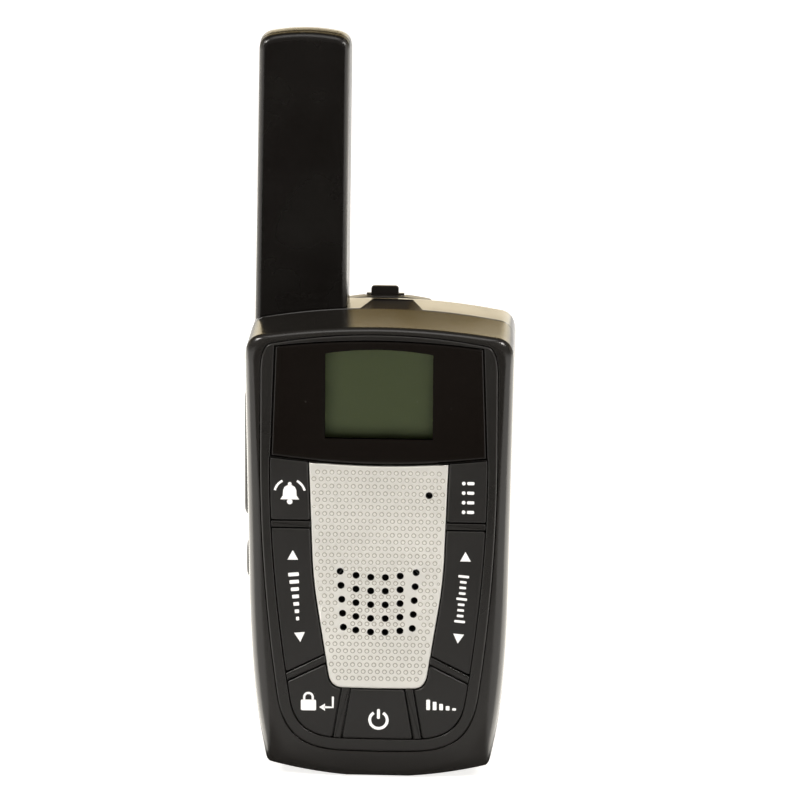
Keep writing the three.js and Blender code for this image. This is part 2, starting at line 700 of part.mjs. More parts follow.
function antennaRing(z, inward) {
  const rise = (z - 107) / (ANTENNA_TOP - 107);
  const left = -28.4 + rise + inward;
  const right = -7.45 + 0.4 * rise - inward;
  const front = ANTENNA_FRONT + inward;
  const back = ANTENNA_BACK - inward;
  const corner = 1.7;
  const shape = new THREE.Path();
  shape.moveTo(left + corner, front);
  shape.lineTo(right - corner, front);
  shape.quadraticCurveTo(right, front, right, front + corner);
  shape.lineTo(right, back - corner);
  shape.quadraticCurveTo(right, back, right - corner, back);
  shape.lineTo(left + corner, back);
  shape.quadraticCurveTo(left, back, left, back - corner);
  shape.lineTo(left, front + corner);
  shape.quadraticCurveTo(left, front, left + corner, front);
  const points = shape.getPoints(4).reverse();
  points.pop();
  return points.map((point) => new THREE.Vector3(point.x, FRONT_Y + point.y, z));
}

// Like loft, but its end caps are flat in x and depth.
function antennaLoft(rings) {
  const lying = (point) => new THREE.Vector3(point.x, point.z, -point.y);
  const geometry = loft(rings.map((points) => points.map(lying)));
  geometry.rotateX(Math.PI / 2);
  return geometry;
}

function antennaCover() {
  const rings = [antennaRing(97, 0), antennaRing(ANTENNA_TOP - 1.6, 0)];
  rings.push(antennaRing(ANTENNA_TOP - 0.5, 0.45), antennaRing(ANTENNA_TOP, 1.5));
  let solid = toSolid(antennaLoft(rings));
  solid = solid.subtract(toSolid(rearBody(GAP)));
  solid = solid.subtract(blockSolid([-40, 0, 90], [0, 40, 101.2]));
  solid = solid.add(blockSolid([-24, 18, 95], [-11.3, 26, 106]));
  const bore = new THREE.CylinderGeometry(4.3, 4.3, 64, 20);
  bore.rotateX(Math.PI / 2);
  bore.translate(COIL_X, FRONT_Y + COIL_DEPTH, 122);
  return toGeometry(solid.subtract(toSolid(bore).intersect(blockSolid([-22.2, 17.4, 80], [-13, 26.6, 156]))));
}

// ---------------------------------------------------------------- belt clip

function clipCarrier() {
  const outline = mirrored((path) => {
    path.moveTo(0, CARRIER_LOW);
    path.lineTo(9, CARRIER_LOW);
    path.quadraticCurveTo(CLIP_HALF, CARRIER_LOW, CLIP_HALF, 74);
    path.lineTo(CLIP_HALF, 100.8);
    path.quadraticCurveTo(CLIP_HALF, 102.3, 9.6, 102.6);
    path.quadraticCurveTo(5, CARRIER_TOP, 0, CARRIER_TOP);
  });
  let solid = outlineSolid(outline, CARRIER_FRONT, CARRIER_BACK);
  const neck = RAIL_NECK_HALF + GAP;
  const head = RAIL_HEAD_HALF + GAP;
  const latch = LATCH_HALF + 0.55;
  const slotTop = RAIL_TOP + GAP;
  solid = solid.subtract(blockSolid([-neck, BODY_DEPTH - 1, 60], [neck, RAIL_HEAD_FRONT + 0.2, slotTop]));
  const headSlot = blockSolid([-head, RAIL_HEAD_FRONT - GAP, 60], [head, RAIL_HEAD_BACK + GAP, slotTop]);
  solid = solid.subtract(headSlot);
  solid = solid.subtract(blockSolid([-latch, LATCH_FRONT - 0.4, LATCH_LOW - 0.4], [latch, 40, 110]));
  for (const low of EARS_LOW) {
    const foot = [low, CARRIER_BACK - 0.4, CLIP_PIN_Z - EAR_R];
    const ear = blockSolid(foot, [low + EAR_WIDTH, CLIP_PIN_DEPTH, CLIP_PIN_Z + EAR_R]);
    const round = toSolid(crossRod(CLIP_PIN_DEPTH, CLIP_PIN_Z, EAR_R, low, low + EAR_WIDTH));
    solid = solid.add(ear.add(round));
  }
  return toGeometry(solid.subtract(toSolid(crossRod(CLIP_PIN_DEPTH, CLIP_PIN_Z, CLIP_PIN_R + 0.2, -12, 12))));
}

// The thumb tab: a tongue that bends backwards, with two small feet on the carrier's top edge.
function clipLatch() {
  const tongue = blockSolid([-LATCH_HALF, LATCH_FRONT, LATCH_LOW], [LATCH_HALF, LATCH_BACK, LATCH_TOP]);
  const feetLow = [-LATCH_FEET_HALF, LATCH_FRONT, LATCH_FEET_LOW];
  const feet = blockSolid(feetLow, [LATCH_FEET_HALF, LATCH_BACK, LATCH_FEET_TOP]);
  return toGeometry(tongue.add(feet));
}

function clipArm() {
  const outer = [[33, 45], [31.2, 49.4], [32.6, 52.4], [35.4, 56.6], [37.2, 69.6], [37.9, 87], [37.8, 97]];
  const top = [[36.6, 101], [35.2, 100.2]];
  const inner = [[36, 96.4], [36.1, 87], [35.4, 70], [33.6, 57], [30, 50.6], [29, 49], [31.6, 46]];
  let solid = toSolid(sideProfile([...outer, ...top, ...inner], -ARM_HALF, ARM_HALF));
  for (const low of KNUCKLES_LOW) {
    const high = low + KNUCKLE_WIDTH;
    solid = solid.add(blockSolid([low, CLIP_PIN_DEPTH, CLIP_PIN_Z - 1.6], [high, 36.6, CLIP_PIN_Z + 1.6]));
    solid = solid.add(toSolid(crossRod(CLIP_PIN_DEPTH, CLIP_PIN_Z, KNUCKLE_R, low, high)));
  }
  return toGeometry(solid.subtract(toSolid(crossRod(CLIP_PIN_DEPTH, CLIP_PIN_Z, CLIP_PIN_R + 0.2, -12, 12))));
}

function clipSpring() {
  const geometry = helix(0, 0, -3.6, 3.6, 1.45, 0.22, 6, 9, 4);
  geometry.translate(0, -FRONT_Y, 0);
  geometry.rotateY(Math.PI / 2);
  geometry.translate(0, FRONT_Y + CLIP_PIN_DEPTH, CLIP_PIN_Z);
  return geometry;
}

// ---------------------------------------------------------------- power

const cellX = (number) => (number - 2) * CELL_PITCH;

function batteryCell(number) {
  const shoulder = CELL_LENGTH - CELL_TIP;
  const can = [[0, 0], [CELL_R, 0], [CELL_R, shoulder]];
  const tip = [[CELL_TIP_R, shoulder], [CELL_TIP_R, CELL_LENGTH], [0, CELL_LENGTH]];
  const geometry = new THREE.LatheGeometry(polygon([...can, ...tip]), 20);
  const flip = number === 2;
  geometry.rotateX(flip ? -Math.PI / 2 : Math.PI / 2);
  geometry.translate(cellX(number), FRONT_Y + CELL_DEPTH, flip ? CELL_LOW + CELL_LENGTH : CELL_LOW);
  return geometry;
}

function batterySpring(number) {
  const low = number === 2 ? CELL_LOW + CELL_LENGTH + 0.6 : TRAY_LOW + 1;
  return helix(cellX(number), CELL_DEPTH, low, low + SPRING_LENGTH, SPRING_R, 0.25, 2, 10, 4);
}

function batteryContact(number) {
  const low = number === 2 ? TRAY_LOW + 0.4 : CELL_LOW + CELL_LENGTH + 0.4;
  const high = number === 2 ? CELL_LOW - 0.4 : TRAY_HIGH - 0.4;
  const x = cellX(number);
  const z = (low + high) / 2;
  return block([x - 4, CELL_DEPTH - 3.5, z - 0.25], [x + 4, CELL_DEPTH + 3.5, z + 0.25]);
}

// ---------------------------------------------------------------- the assembly

const group = new THREE.Group();

function place(name, geometry, look) {
  const mesh = new THREE.Mesh(geometry, new THREE.MeshStandardMaterial(look));
  mesh.name = name;
  group.add(mesh);
}

place('front_casing', frontCasing(), BLACK_PLASTIC);
place('rear_casing', rearCasing(), BLACK_PLASTIC);
place('battery_door', batteryDoor(), BLACK_PLASTIC);
place('face_bezel', faceBezel(), BLACK_PLASTIC);
place('display_lens', displayLens(), BLACK_GLOSS);
place('speaker_grille', speakerGrille(), SILVER);
for (const [name, layout] of Object.entries(KEYS)) {
  place(name, key(layout), KEY_GREY);
}

place('lcd_module', block([-LCD_HALF, 2.9, LCD_LOW], [LCD_HALF, 3.9, LCD_TOP]), LCD_GREEN);
place('backlight_guide', block([-13.6, 4.2, 77.2], [13.6, 5, 97.8]), WHITE_PLASTIC);
place('keypad_mat', keypadMat(), RUBBER);
place('main_board', mainBoard(), BOARD_GREEN);
place('rf_shield', block([-15, PARTS_FRONT, 68], [15, 10, 94]), STEEL);
const gasket = [[11, 4.1], [12.8, 4.1], [12.8, 4.5], [11, 4.5], [11, 4.1]];
place('speaker_gasket', turned(0, SPEAKER_Z, gasket), RUBBER);
place('speaker_frame', speakerFrame(), STEEL);
place('speaker_cone', speakerCone(), CONE_PAPER);
place('speaker_magnet', depthRod(0, SPEAKER_Z, 7.5, 9.9, 13, 20), STEEL);
place('microphone', depthRod(MIC_X, MIC_Z, MIC_R, 3.5, 4.9, 14), STEEL);
place('microphone_boot', microphoneBoot(), RUBBER);

place('talk_button', sideButton(TALK_LOW, TALK_HIGH, TALK_CREST), RUBBER);
place('monitor_button', sideButton(MONITOR_LOW, MONITOR_HIGH, MONITOR_CREST), RUBBER);
for (const [name, low] of [['talk_switch', 70], ['monitor_switch', 45.2]]) {
  place(name, block([-SWITCH_OUT, PARTS_FRONT, low], [SWITCH_DEEP - SWITCH_OUT, 12, low + 6]), STEEL);
}
const jackBody = blockSolid([16.6, PARTS_FRONT, JACK_Z - 3.5], [25.8, 14, JACK_Z + 3.5]);
const jackBore = toSolid(crossRod(JACK_DEPTH, JACK_Z, 1.3, 18, 30, 12));
place('accessory_jack', toGeometry(jackBody.subtract(jackBore)), BLACK_PLASTIC);
const jackCover = toSolid(frontBody()).intersect(jackCoverSolid(0));
place('jack_cover', toGeometry(jackCover), RUBBER);

place('antenna_cover', antennaCover(), BLACK_PLASTIC);
place('antenna_coil', helix(COIL_X, COIL_DEPTH, 100, 152, COIL_R, 0.4, 9, 9, 4), BRASS);
place('antenna_feed', block([COIL_X - 1.2, 7, 93.2], [COIL_X + 1.2, 23, 93.8]), BRASS);

place('clip_carrier', clipCarrier(), BLACK_PLASTIC);
place('clip_latch', clipLatch(), BLACK_PLASTIC);
place('clip_arm', clipArm(), BLACK_PLASTIC);
place('clip_pin', crossRod(CLIP_PIN_DEPTH, CLIP_PIN_Z, CLIP_PIN_R, -9.2, 9.2), STEEL);
place('clip_spring', clipSpring(), STEEL);

for (const number of [1, 2, 3]) {
  place(`battery_cell_${number}`, batteryCell(number), CELL_WRAP);
  place(`battery_spring_${number}`, batterySpring(number), STEEL);
  place(`battery_contact_${number}`, batteryContact(number), STEEL);
}
SCREWS.forEach((position, index) => place(`case_screw_${index + 1}`, screwPiece(position), STEEL));

export default group;
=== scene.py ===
"""Looks of the handheld two way radio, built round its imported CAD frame.

Outlines are written in millimetres in the front plane as (x, z). A depth is measured in millimetres
from the front plane towards the back. Meshes are made in metres, in the frame's own axes.
"""
import math

import bmesh
import bpy
from mathutils import Matrix, Vector
from mathutils.geometry import delaunay_2d_cdt, tessellate_polygon

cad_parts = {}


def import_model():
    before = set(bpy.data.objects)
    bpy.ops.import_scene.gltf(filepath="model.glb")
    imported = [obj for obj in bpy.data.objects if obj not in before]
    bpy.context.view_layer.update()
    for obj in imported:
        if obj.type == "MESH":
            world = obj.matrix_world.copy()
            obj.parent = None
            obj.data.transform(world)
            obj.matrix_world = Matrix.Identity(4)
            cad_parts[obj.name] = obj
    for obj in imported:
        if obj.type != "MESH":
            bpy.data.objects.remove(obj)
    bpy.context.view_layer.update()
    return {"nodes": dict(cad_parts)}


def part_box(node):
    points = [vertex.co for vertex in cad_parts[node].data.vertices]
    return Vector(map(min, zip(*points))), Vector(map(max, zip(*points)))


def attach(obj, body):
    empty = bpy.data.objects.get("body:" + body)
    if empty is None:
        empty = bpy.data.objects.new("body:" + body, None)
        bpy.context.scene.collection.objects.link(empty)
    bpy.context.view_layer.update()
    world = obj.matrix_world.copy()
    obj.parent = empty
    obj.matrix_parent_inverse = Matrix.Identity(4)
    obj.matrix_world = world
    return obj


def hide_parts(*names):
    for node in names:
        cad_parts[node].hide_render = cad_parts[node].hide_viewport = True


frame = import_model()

# ------------------------------------------------------------------ sizes, in millimetres

MM = 0.001
FRONT_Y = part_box("front_casing")[0].y / MM
BODY_DEPTH = 28.0
BODY_TOP = 104.45
PARTING = 15.0
PARTING_GAP = 0.15
PARTING_CHAMFER = 0.22
LAND_HALF = 7.0

FACE_SIDE_INSET = 2.6
FACE_LOW_INSET = 5.2
FACE_TOP_DROP = 0.95
FACE_TOP_INSET = 1.5
FACE_BOTTOM_INSET = 2.0
CORNER_REACH = 1.3        # the face's top corners are longer and flatter than the parting plane's
CORNER_LIFT = 0.9
WIDE_CORNER = 0.4         # share of that where the edge rounding meets the sides
REAR_ROUND = 3.0
REAR_SIDE_INSET = 0.4

BEZEL_CREST = -0.25
KEY_FRONT = -0.1
KEY_BACK = 1.0
HALF_GROOVE = 0.15
WEB_FRONT = 1.9
WEB_BACK = 2.4
LENS_BACK = 1.1
GRILLE_FRONT = 0.1
GRILLE_BACK = 1.6

SPEAKER_Z = 40.3
SPEAKER_OPENING_R = 11.4
HOLE_R = 0.78
HOLE_ROW_PITCH = 3.17
MIC = (11.2, 65.7)
BUMP_PITCH = 1.5817
BUMP_LOW = 23.25          # height of the row of domes that is numbered 0
BUMP_R = 0.56
PAINTED_SHADE_R = 0.33           # the painted shade in the crease round a dome ends here
BUMP_SHAPE = [(0.46, 0.06), (0.33, 0.13), (0.24, 0.17), (0.13, 0.19)]  # radius and height of each ring
BUMP_SIDES = 14

SCREWS = [(-22.8, 90.5), (22.8, 90.5), (-21.4, 24.0), (21.4, 24.0)]

TALK_LOW, TALK_HIGH = 58.1, 87.4
MONITOR_LOW, MONITOR_HIGH = 43.5, 52.8
TALK_CREST, MONITOR_CREST = 30.15, 29.7
SIDE_BUTTON_DEPTH = 9.6
SIDE_BUTTON_HALF = 3.2
JACK_Z = 83.0
JACK_DEPTH = 10.5

DOOR_HALF = 18.8
DOOR_TOP = 68.0
DOOR_FRONT = 26.3
CLIP_PIN_Z = 94.0
CLIP_PIN_DEPTH = 33.6
PIN_HOLE_R = 1.2
RAIL_LOW, RAIL_TOP = 76.0, 97.0
AAA_LENGTH = 44.5

# ------------------------------------------------------------------ view

CAMERA_AZIMUTH, CAMERA_ELEVATION, CAMERA_ROLL = 2.6, 14.5, 0.34   # degrees
CAMERA_DISTANCE = 1300.0
VIEW_WIDTH = 176.0        # millimetres across the picture at the target
SENSOR = 36
TARGET = Vector((4.64, FRONT_Y, 87.45))


# ------------------------------------------------------------------ outlines

class Pen:
    """Draws an outline from lines and curves. Every curve has the same number of steps."""

    def __init__(self, start, steps):
        self.points = [Vector(start)]
        self.steps = steps

    def line(self, *point, steps=1):
        start = self.points[-1].copy()
        for i in range(1, steps + 1):
            self.points.append(start.lerp(Vector(point), i / steps))

    def quad(self, cx, cz, x, z):
        start, control, end = self.points[-1].copy(), Vector((cx, cz)), Vector((x, z))
        for i in range(1, self.steps + 1):
            t = i / self.steps
            self.points.append(start.lerp(control, t).lerp(control.lerp(end, t), t))

    def cubic(self, c1, c2, end):
        a, b, c, d = self.points[-1].copy(), Vector(c1), Vector(c2), Vector(end)
        for i in range(1, self.steps + 1):
            t = i / self.steps
            u = 1 - t
            self.points.append(a * u ** 3 + b * 3 * u * u * t + c * 3 * u * t * t + d * t ** 3)


def flipped(outline):
    """An outline mirrored left to right and still anticlockwise."""
    return [Vector((-p.x, p.y)) for p in reversed(outline)]


def mirrored(half):
    """A closed outline from its right half, which runs from the bottom centre to the top centre."""
    return half + flipped(half[1:-1])


def quarter(steps):
    """Angles from nothing to a right angle."""
    return [math.pi / 2 * i / steps for i in range(steps + 1)]


def body_outline(side=0.0, low=None, top=0.0, bottom=0.0, corner=0.0, steps=16):
    """The casing's outline, drawn in by "side" in the upper and by "low" in the lower part.

    A "corner" of 1 gives the face's longer and flatter top corners.
    """
    corner_end = 26.2 - side - CORNER_REACH * corner
    corner_rise = CORNER_LIFT * corner - top
    low = side if low is None else low
    middle = (side + low) / 2
    pen = Pen((0, bottom), steps)
    pen.line(LAND_HALF - low / 4, bottom, steps=4)
    pen.quad(15.5 - low, 0.63 + bottom, 24 - low, 2.77 + bottom)
    pen.quad(24.75 - low, 2.96 + bottom, 25.05 - low, 4 + bottom)
    pen.quad(28.3 - low, 16, 28.85 - middle, 42)
    pen.line(29.7 - side, 96.8 - top, steps=12)
    pen.quad(29.75 - side, 101.65 + corner_rise, corner_end, 102.15 + corner_rise)
    pen.quad(corner_end / 2, BODY_TOP - top, 0, BODY_TOP - top)
    return mirrored(pen.points)


def bezel_outline(steps=20):
    """The outer edge of the trim ring round the lens and the keys."""
    pen = Pen((0, 6.33), steps)
    pen.line(7, 6.45)
    pen.cubic((16.2, 6.6), (21, 9.3), (22.4, 19.5))
    pen.quad(26.22, 47, 26.22, 74)
    pen.line(26.15, 93.5, steps=4)
    pen.quad(26.05, 99.7, 23.4, 99.83)
    pen.quad(12, 102, 0, 102)
    return mirrored(pen.points)


def lens_outline(steps=20):
    pen = Pen((0, 72.6), steps)
    pen.quad(12, 72.6, 23.95, 74.2)
    pen.line(23.05, 99.25)
    pen.quad(11.3, 100.75, 0, 100.75)
    return mirrored(pen.points)


def screen_outline(steps=16):
    """The clear window in the lens: straight sides and foot, and an arched head."""
    pen = Pen((0, 78.4), steps)
    pen.line(11.9, 78.4, steps=4)
    pen.line(11.9, 97.7, steps=4)
    pen.quad(6, 98.7, 0, 98.7)
    return mirrored(pen.points)


def grille_outline(steps=12):
    pen = Pen((0, 20.85), steps)
    pen.line(7.9, 20.95, steps=3)
    pen.quad(10.5, 21, 11, 24.2)
    pen.line(13.4, 39.5, steps=4)
    pen.quad(14.35, 45.5, 14.6, 51)
    pen.line(15.4, 72.75, steps=4)
    pen.quad(7.7, 72.1, 0, 72.1)
    return mirrored(pen.points)


def field_half(gap, steps=24):
    """The right half of the outer edge of the key field, up to where the grille's side meets its top."""
    pen = Pen((0, 9.05 + gap), steps)
    pen.line(8, 9.1 + gap, steps=4)
    pen.cubic((14.8 - gap, 9.2 + gap), (18.8 - gap, 11.6 + gap), (19.75 - gap, 18.5))
    pen.quad(24.25 - gap, 47.5, 24.25 - gap, 72)
    pen.line(24.2 - gap, 74.05 - gap)
    pen.quad(12, 72.5 - gap, 0, 72.5 - gap)
    return pen.points


def grille_side(gap, steps=12):
    """The right half of the inner edge of the key field, run straight up past the field's top."""
    pen = Pen((0, 20.85 - gap), steps)
    pen.line(7.9, 20.95 - gap, steps=3)
    pen.quad(10.5 + gap, 21 - gap, 11 + gap, 24.2)
    pen.line(13.4 + gap, 39.5)
    pen.quad(14.35 + gap, 45.5, 14.6 + gap, 51)
    pen.line(15.4 + gap, 73.6)
    return pen.points


def clip(points, origin, normal):
    """The part of a closed outline behind the line through origin, where normal points away from it."""
    origin, normal = Vector(origin), Vector(normal).normalized()
    kept = []
    for i, here in enumerate(points):
        before = points[i - 1]
        d0, d1 = (before - origin).dot(normal), (here - origin).dot(normal)
        if (d0 < 0) != (d1 < 0):
            kept.append(before.lerp(here, d0 / (d0 - d1)))
        if d1 < 0:
            kept.append(here.copy())
    return kept


def rounded(points, radius, steps=6, sharp=math.radians(25)):
    """A closed outline with its sharp corners rounded."""
    points = [p for i, p in enumerate(points) if (p - points[i - 1]).length > 1e-4]
    count = len(points)
    corners = []
    for i in range(count):
        into = (points[i] - points[i - 1]).normalized()
        out = (points[(i + 1) % count] - points[i]).normalized()
        turn = math.acos(max(-1.0, min(1.0, into.dot(out))))
        if turn > sharp:
            corners.append((i, radius * math.tan(turn / 2)))
    drop, arcs = set(), {}
    for i, reach in corners:
        ends = []
        for step in (-1, 1):
            left, j = reach, i
            while left > (points[(j + step) % count] - points[j % count]).length:
                left -= (points[(j + step) % count] - points[j % count]).length
                j += step
                drop.add(j % count)
            here, there = points[j % count], points[(j + step) % count]
            ends.append(here.lerp(there, left / (there - here).length))
        start, end, corner = ends[0], ends[1], points[i]
        arcs[i] = [start.lerp(corner, t).lerp(corner.lerp(end, t), t) for t in
                   (k / steps for k in range(steps + 1))]
    result = []
    for i, point in enumerate(points):
        if i in arcs:
            result.extend(arcs[i])
        elif i not in drop:
            result.append(point)
    return result


def inset(points, amount):
    """A closed anticlockwise outline moved inwards along its own normals."""
    moved = []
    count = len(points)
    for i, point in enumerate(points):
        into = (point - points[i - 1]).normalized()
        out = (points[(i + 1) % count] - point).normalized()
        tangent = (into + out).normalized()
        stretch = 1 / max(0.35, tangent.dot(into))
        moved.append(point + Vector((-tangent.y, tangent.x)) * amount * stretch)
    return moved


def disc(x, z, radius, sides):
    turns = (2 * math.pi * i / sides for i in range(sides))
    return [Vector((x + radius * math.cos(a), z + radius * math.sin(a))) for a in turns]


def box_outline(left, low, right, high):
    return [Vector(p) for p in ((left, low), (right, low), (right, high), (left, high))]


# ------------------------------------------------------------------ meshes

def new_piece(name, points, faces):
    """A mesh object from points in millimetres in the frame's axes."""
    mesh = bpy.data.meshes.new(name)
    mesh.from_pydata([Vector(p) * MM for p in points], [], faces)
    mesh.validate()
    piece = bpy.data.objects.new(name, mesh)
    bpy.context.scene.collection.objects.link(piece)
    return piece


def loft(name, rings):
    """A closed body through rings of (x, y, z) points that run anticlockwise seen from the first ring."""
    count = len(rings[0])
    points = [p for ring in rings for p in ring]
    faces = [tuple(range(count)), tuple(reversed(range(len(points) - count, len(points))))]
    for r in range(len(rings) - 1):
        for i in range(count):
            a, b = r * count + i, r * count + (i + 1) % count
            faces.append((a, a + count, b + count, b))
    piece = new_piece(name, points, faces)
    mesh = bmesh.new()
    mesh.from_mesh(piece.data)
    bmesh.ops.recalc_face_normals(mesh, faces=mesh.faces)
    mesh.to_mesh(piece.data)
    mesh.free()
    return piece


def piece_from(mesh, name, tidy_normals=True):
    """A piece from a bmesh, which it frees."""
    if tidy_normals:
        bmesh.ops.recalc_face_normals(mesh, faces=mesh.faces)
    piece = new_piece(name, [], [])
    mesh.to_mesh(piece.data)
    mesh.free()
    return piece


def at_depth(outline, depth):
    return [(p.x, FRONT_Y + depth, p.y) for p in outline]


def slab(name, outline, profile):
    """A body whose outline is inset by the first of each (inset, depth) pair, from front to back."""
    return loft(name, [at_depth(inset(outline, amount) if amount else outline, depth)
                       for amount, depth in profile])


def round_edge(radius, depth, steps=5, height=None):
    """(inset, depth) pairs of a rounded front edge whose flat face is at depth."""
    height = radius if height is None else height
    return [(radius * (1 - math.sin(a)), depth + height * (1 - math.cos(a))) for a in quarter(steps)]


def flare(radius, depth, back):
    """The profile of a cutter whose rim rounds the edge that it leaves at depth."""
    rim = [(-radius * (1 - math.sin(a)), depth + radius * (1 - math.cos(a))) for a in quarter(4)]
    return [(-radius, depth - 1.0)] + rim + [(0.0, back)]


def block(name, low, high):
    """A box between two corners given as (x, depth, z)."""
    (x0, d0, z0), (x1, d1, z1) = low, high
    return slab(name, box_outline(x0, z0, x1, z1), [(0, d0), (0, d1)])


def cut(piece, *tools, operation="DIFFERENCE"):
    """Cuts the tools out of the piece, or joins or intersects them, and removes the tools."""
    for tool in tools:
        modifier = piece.modifiers.new("cut", "BOOLEAN")
        modifier.operation = operation
        modifier.solver = "EXACT"
        modifier.object = tool
        apply_modifiers(piece)
        bpy.data.objects.remove(tool)
    return piece


def join(piece, *tools):
    """Joins the tools to the piece."""
    return cut(piece, *tools, operation="UNION")


def apply_modifiers(piece):
    bpy.context.view_layer.update()
    graph = bpy.context.evaluated_depsgraph_get()
    mesh = bpy.data.meshes.new_from_object(piece.evaluated_get(graph))
    piece.modifiers.clear()
    piece.data = mesh


def smooth(piece, angle=32):
    piece.data.shade_smooth()
    piece.data.set_sharp_from_angle(angle=math.radians(angle))
    return piece


def bevelled(piece, width, segments=3, angle=40):
    modifier = piece.modifiers.new("bevel", "BEVEL")
    modifier.width = width * MM
    modifier.segments = segments
    modifier.limit_method = "ANGLE"
    modifier.angle_limit = math.radians(angle)
    modifier.use_clamp_overlap = True
    apply_modifiers(piece)
    return piece


def finish_piece(piece, material, body, slot, *nodes, angle=32):
    """Shades, paints and hangs a finished piece on its body in place of its CAD nodes."""
    smooth(piece, angle)
    weighted = piece.modifiers.new("weighted_normals", "WEIGHTED_NORMAL")
    weighted.keep_sharp = True
    apply_modifiers(piece)
    piece.data.materials.clear()
    piece.data.materials.append(material)
    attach(piece, body)
    if nodes:
        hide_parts(*nodes)
    return piece


# ------------------------------------------------------------------ materials

class Tree:
    """A short way to write a node tree. Every value may be a number, a colour or another node's socket."""

    def __init__(self, tree):
        self.tree = tree

    def put(self, node, key, value):
        if isinstance(value, bpy.types.NodeSocket):
            self.tree.links.new(value, node.inputs[key])
        else:
            node.inputs[key].default_value = value

    def fill(self, node, *values):
        """Sets a node's first inputs in their order."""
        for i, value in enumerate(values):
            self.put(node, i, value)

    def add(self, kind, **inputs):
        node = self.tree.nodes.new(kind)
        for name, value in inputs.items():
            self.put(node, name.replace("_", " "), value)
        return node

    def span(self, value, low, high, to_low, to_high):
        """The value, mapped from one range to another and kept inside it."""
        node = self.add("ShaderNodeMapRange")
        self.fill(node, value, low, high, to_low, to_high)
        return node.outputs["Result"]

    def maths(self, operation, *values):
        node = self.add("ShaderNodeMath")
        node.operation = operation
        self.fill(node, *values)
        return node.outputs[0]

    def blend(self, factor, a, b):
        """A blend of two colours: the second one in the given share."""
        node = self.add("ShaderNodeMix")
        node.data_type = "RGBA"
        self.put(node, 0, factor)
        self.put(node, 6, a)
        self.put(node, 7, b)
        return node.outputs[2]

    def mixed(self, share, first, second):
        """A blend of two shaders: the second one in the given share."""
        node = self.add("ShaderNodeMixShader")
        self.fill(node, share, first, second)
        return node.outputs[0]

    def ramp(self, value, stops):
        """A colour that runs through (place, colour) stops."""
        node = self.add("ShaderNodeValToRGB", Fac=value)
        elements = node.color_ramp.elements
        while len(elements) < len(stops):
            elements.new(0.5)
        for element, (place, tint) in zip(elements, stops):
            element.position = place
            element.color = (*tint, 1)
        return node.outputs["Color"]


class Nodes(Tree):
    """The node tree of a new material, with its Principled shader."""

    def __init__(self, name):
        self.material = bpy.data.materials.new(name)
        self.material.use_nodes = True
        super().__init__(self.material.node_tree)
        self.shader = self.tree.nodes["Principled BSDF"]

    def place(self, scale):
        """Object coordinates times scale, so that a scale of 1000 counts in millimetres."""
        where = self.add("ShaderNodeTexCoord").outputs["Object"]
        mapping = self.add("ShaderNodeMapping", Vector=where)
        mapping.inputs["Scale"].default_value = (scale, scale, scale)
        return mapping.outputs["Vector"]

    def noise(self, scale, detail=2.0, roughness=0.5):
        node = self.add("ShaderNodeTexNoise", Vector=self.place(1000), Scale=scale, Detail=detail,
                        Roughness=roughness)
        return node.outputs["Fac"]

    def bump(self, height, strength, distance):
        node = self.add("ShaderNodeBump", Height=height, Strength=strength, Distance=distance * MM)
        return node.outputs["Normal"]

    def specks(self, spacing, size, share):
        """Small round specks, about spacing millimetres apart, in a share of the cells."""
        cells = self.add("ShaderNodeTexVoronoi", Vector=self.place(1000), Scale=1 / spacing)
        near = self.span(cells.outputs["Distance"], size / spacing * 0.6, size / spacing, 1, 0)
        shade = self.add("ShaderNodeSeparateColor", Color=cells.outputs["Color"])
        lucky = self.span(shade.outputs["Red"], 1 - share, 1 - share + 0.01, 0, 1)
        return self.maths("MULTIPLY", near, lucky)

    def replace_shader(self, shader):
        """Another shader in place of the Principled one."""
        self.put(self.tree.nodes["Material Output"], "Surface", shader)
        self.tree.nodes.remove(self.shader)


def colour(r, g, b):
    return (r, g, b, 1.0)


DUST = colour(0.30, 0.28, 0.25)


def plastic(name, base, rough, grain=0.25, relief=0.012, dust=0.05, specular=0.5, wear=0.05):
    """Moulded plastic: a fine moulded grain, uneven gloss and a little dust."""
    n = Nodes(name)
    cloud = n.noise(0.06, 3)
    fine = n.noise(1 / grain, 2)
    lighter = colour(*(min(1, c * 1.25 + 0.002) for c in base[:3]))
    tint = n.blend(cloud, base, lighter)
    dusty = n.blend(n.specks(2.3, 0.09, dust), tint, DUST)
    dusty = n.blend(n.specks(5.0, 0.15, dust * 1.4), dusty, DUST)
    n.put(n.shader, "Base Color", dusty)
    n.put(n.shader, "Roughness", n.span(cloud, 0.3, 0.7, rough - wear, rough + wear))
    n.put(n.shader, "Normal", n.bump(fine, 0.6, relief))
    n.put(n.shader, "Specular IOR Level", specular)
    return n.material


def metal(name, base, rough, grain=0.4):
    n = Nodes(name)
    cloud = n.noise(1 / grain, 3)
    n.put(n.shader, "Base Color", n.blend(cloud, base, colour(*(c * 0.85 for c in base[:3]))))
    n.put(n.shader, "Metallic", 1.0)
    n.put(n.shader, "Roughness", n.span(cloud, 0.3, 0.7, rough - 0.06, rough + 0.08))
    return n.material


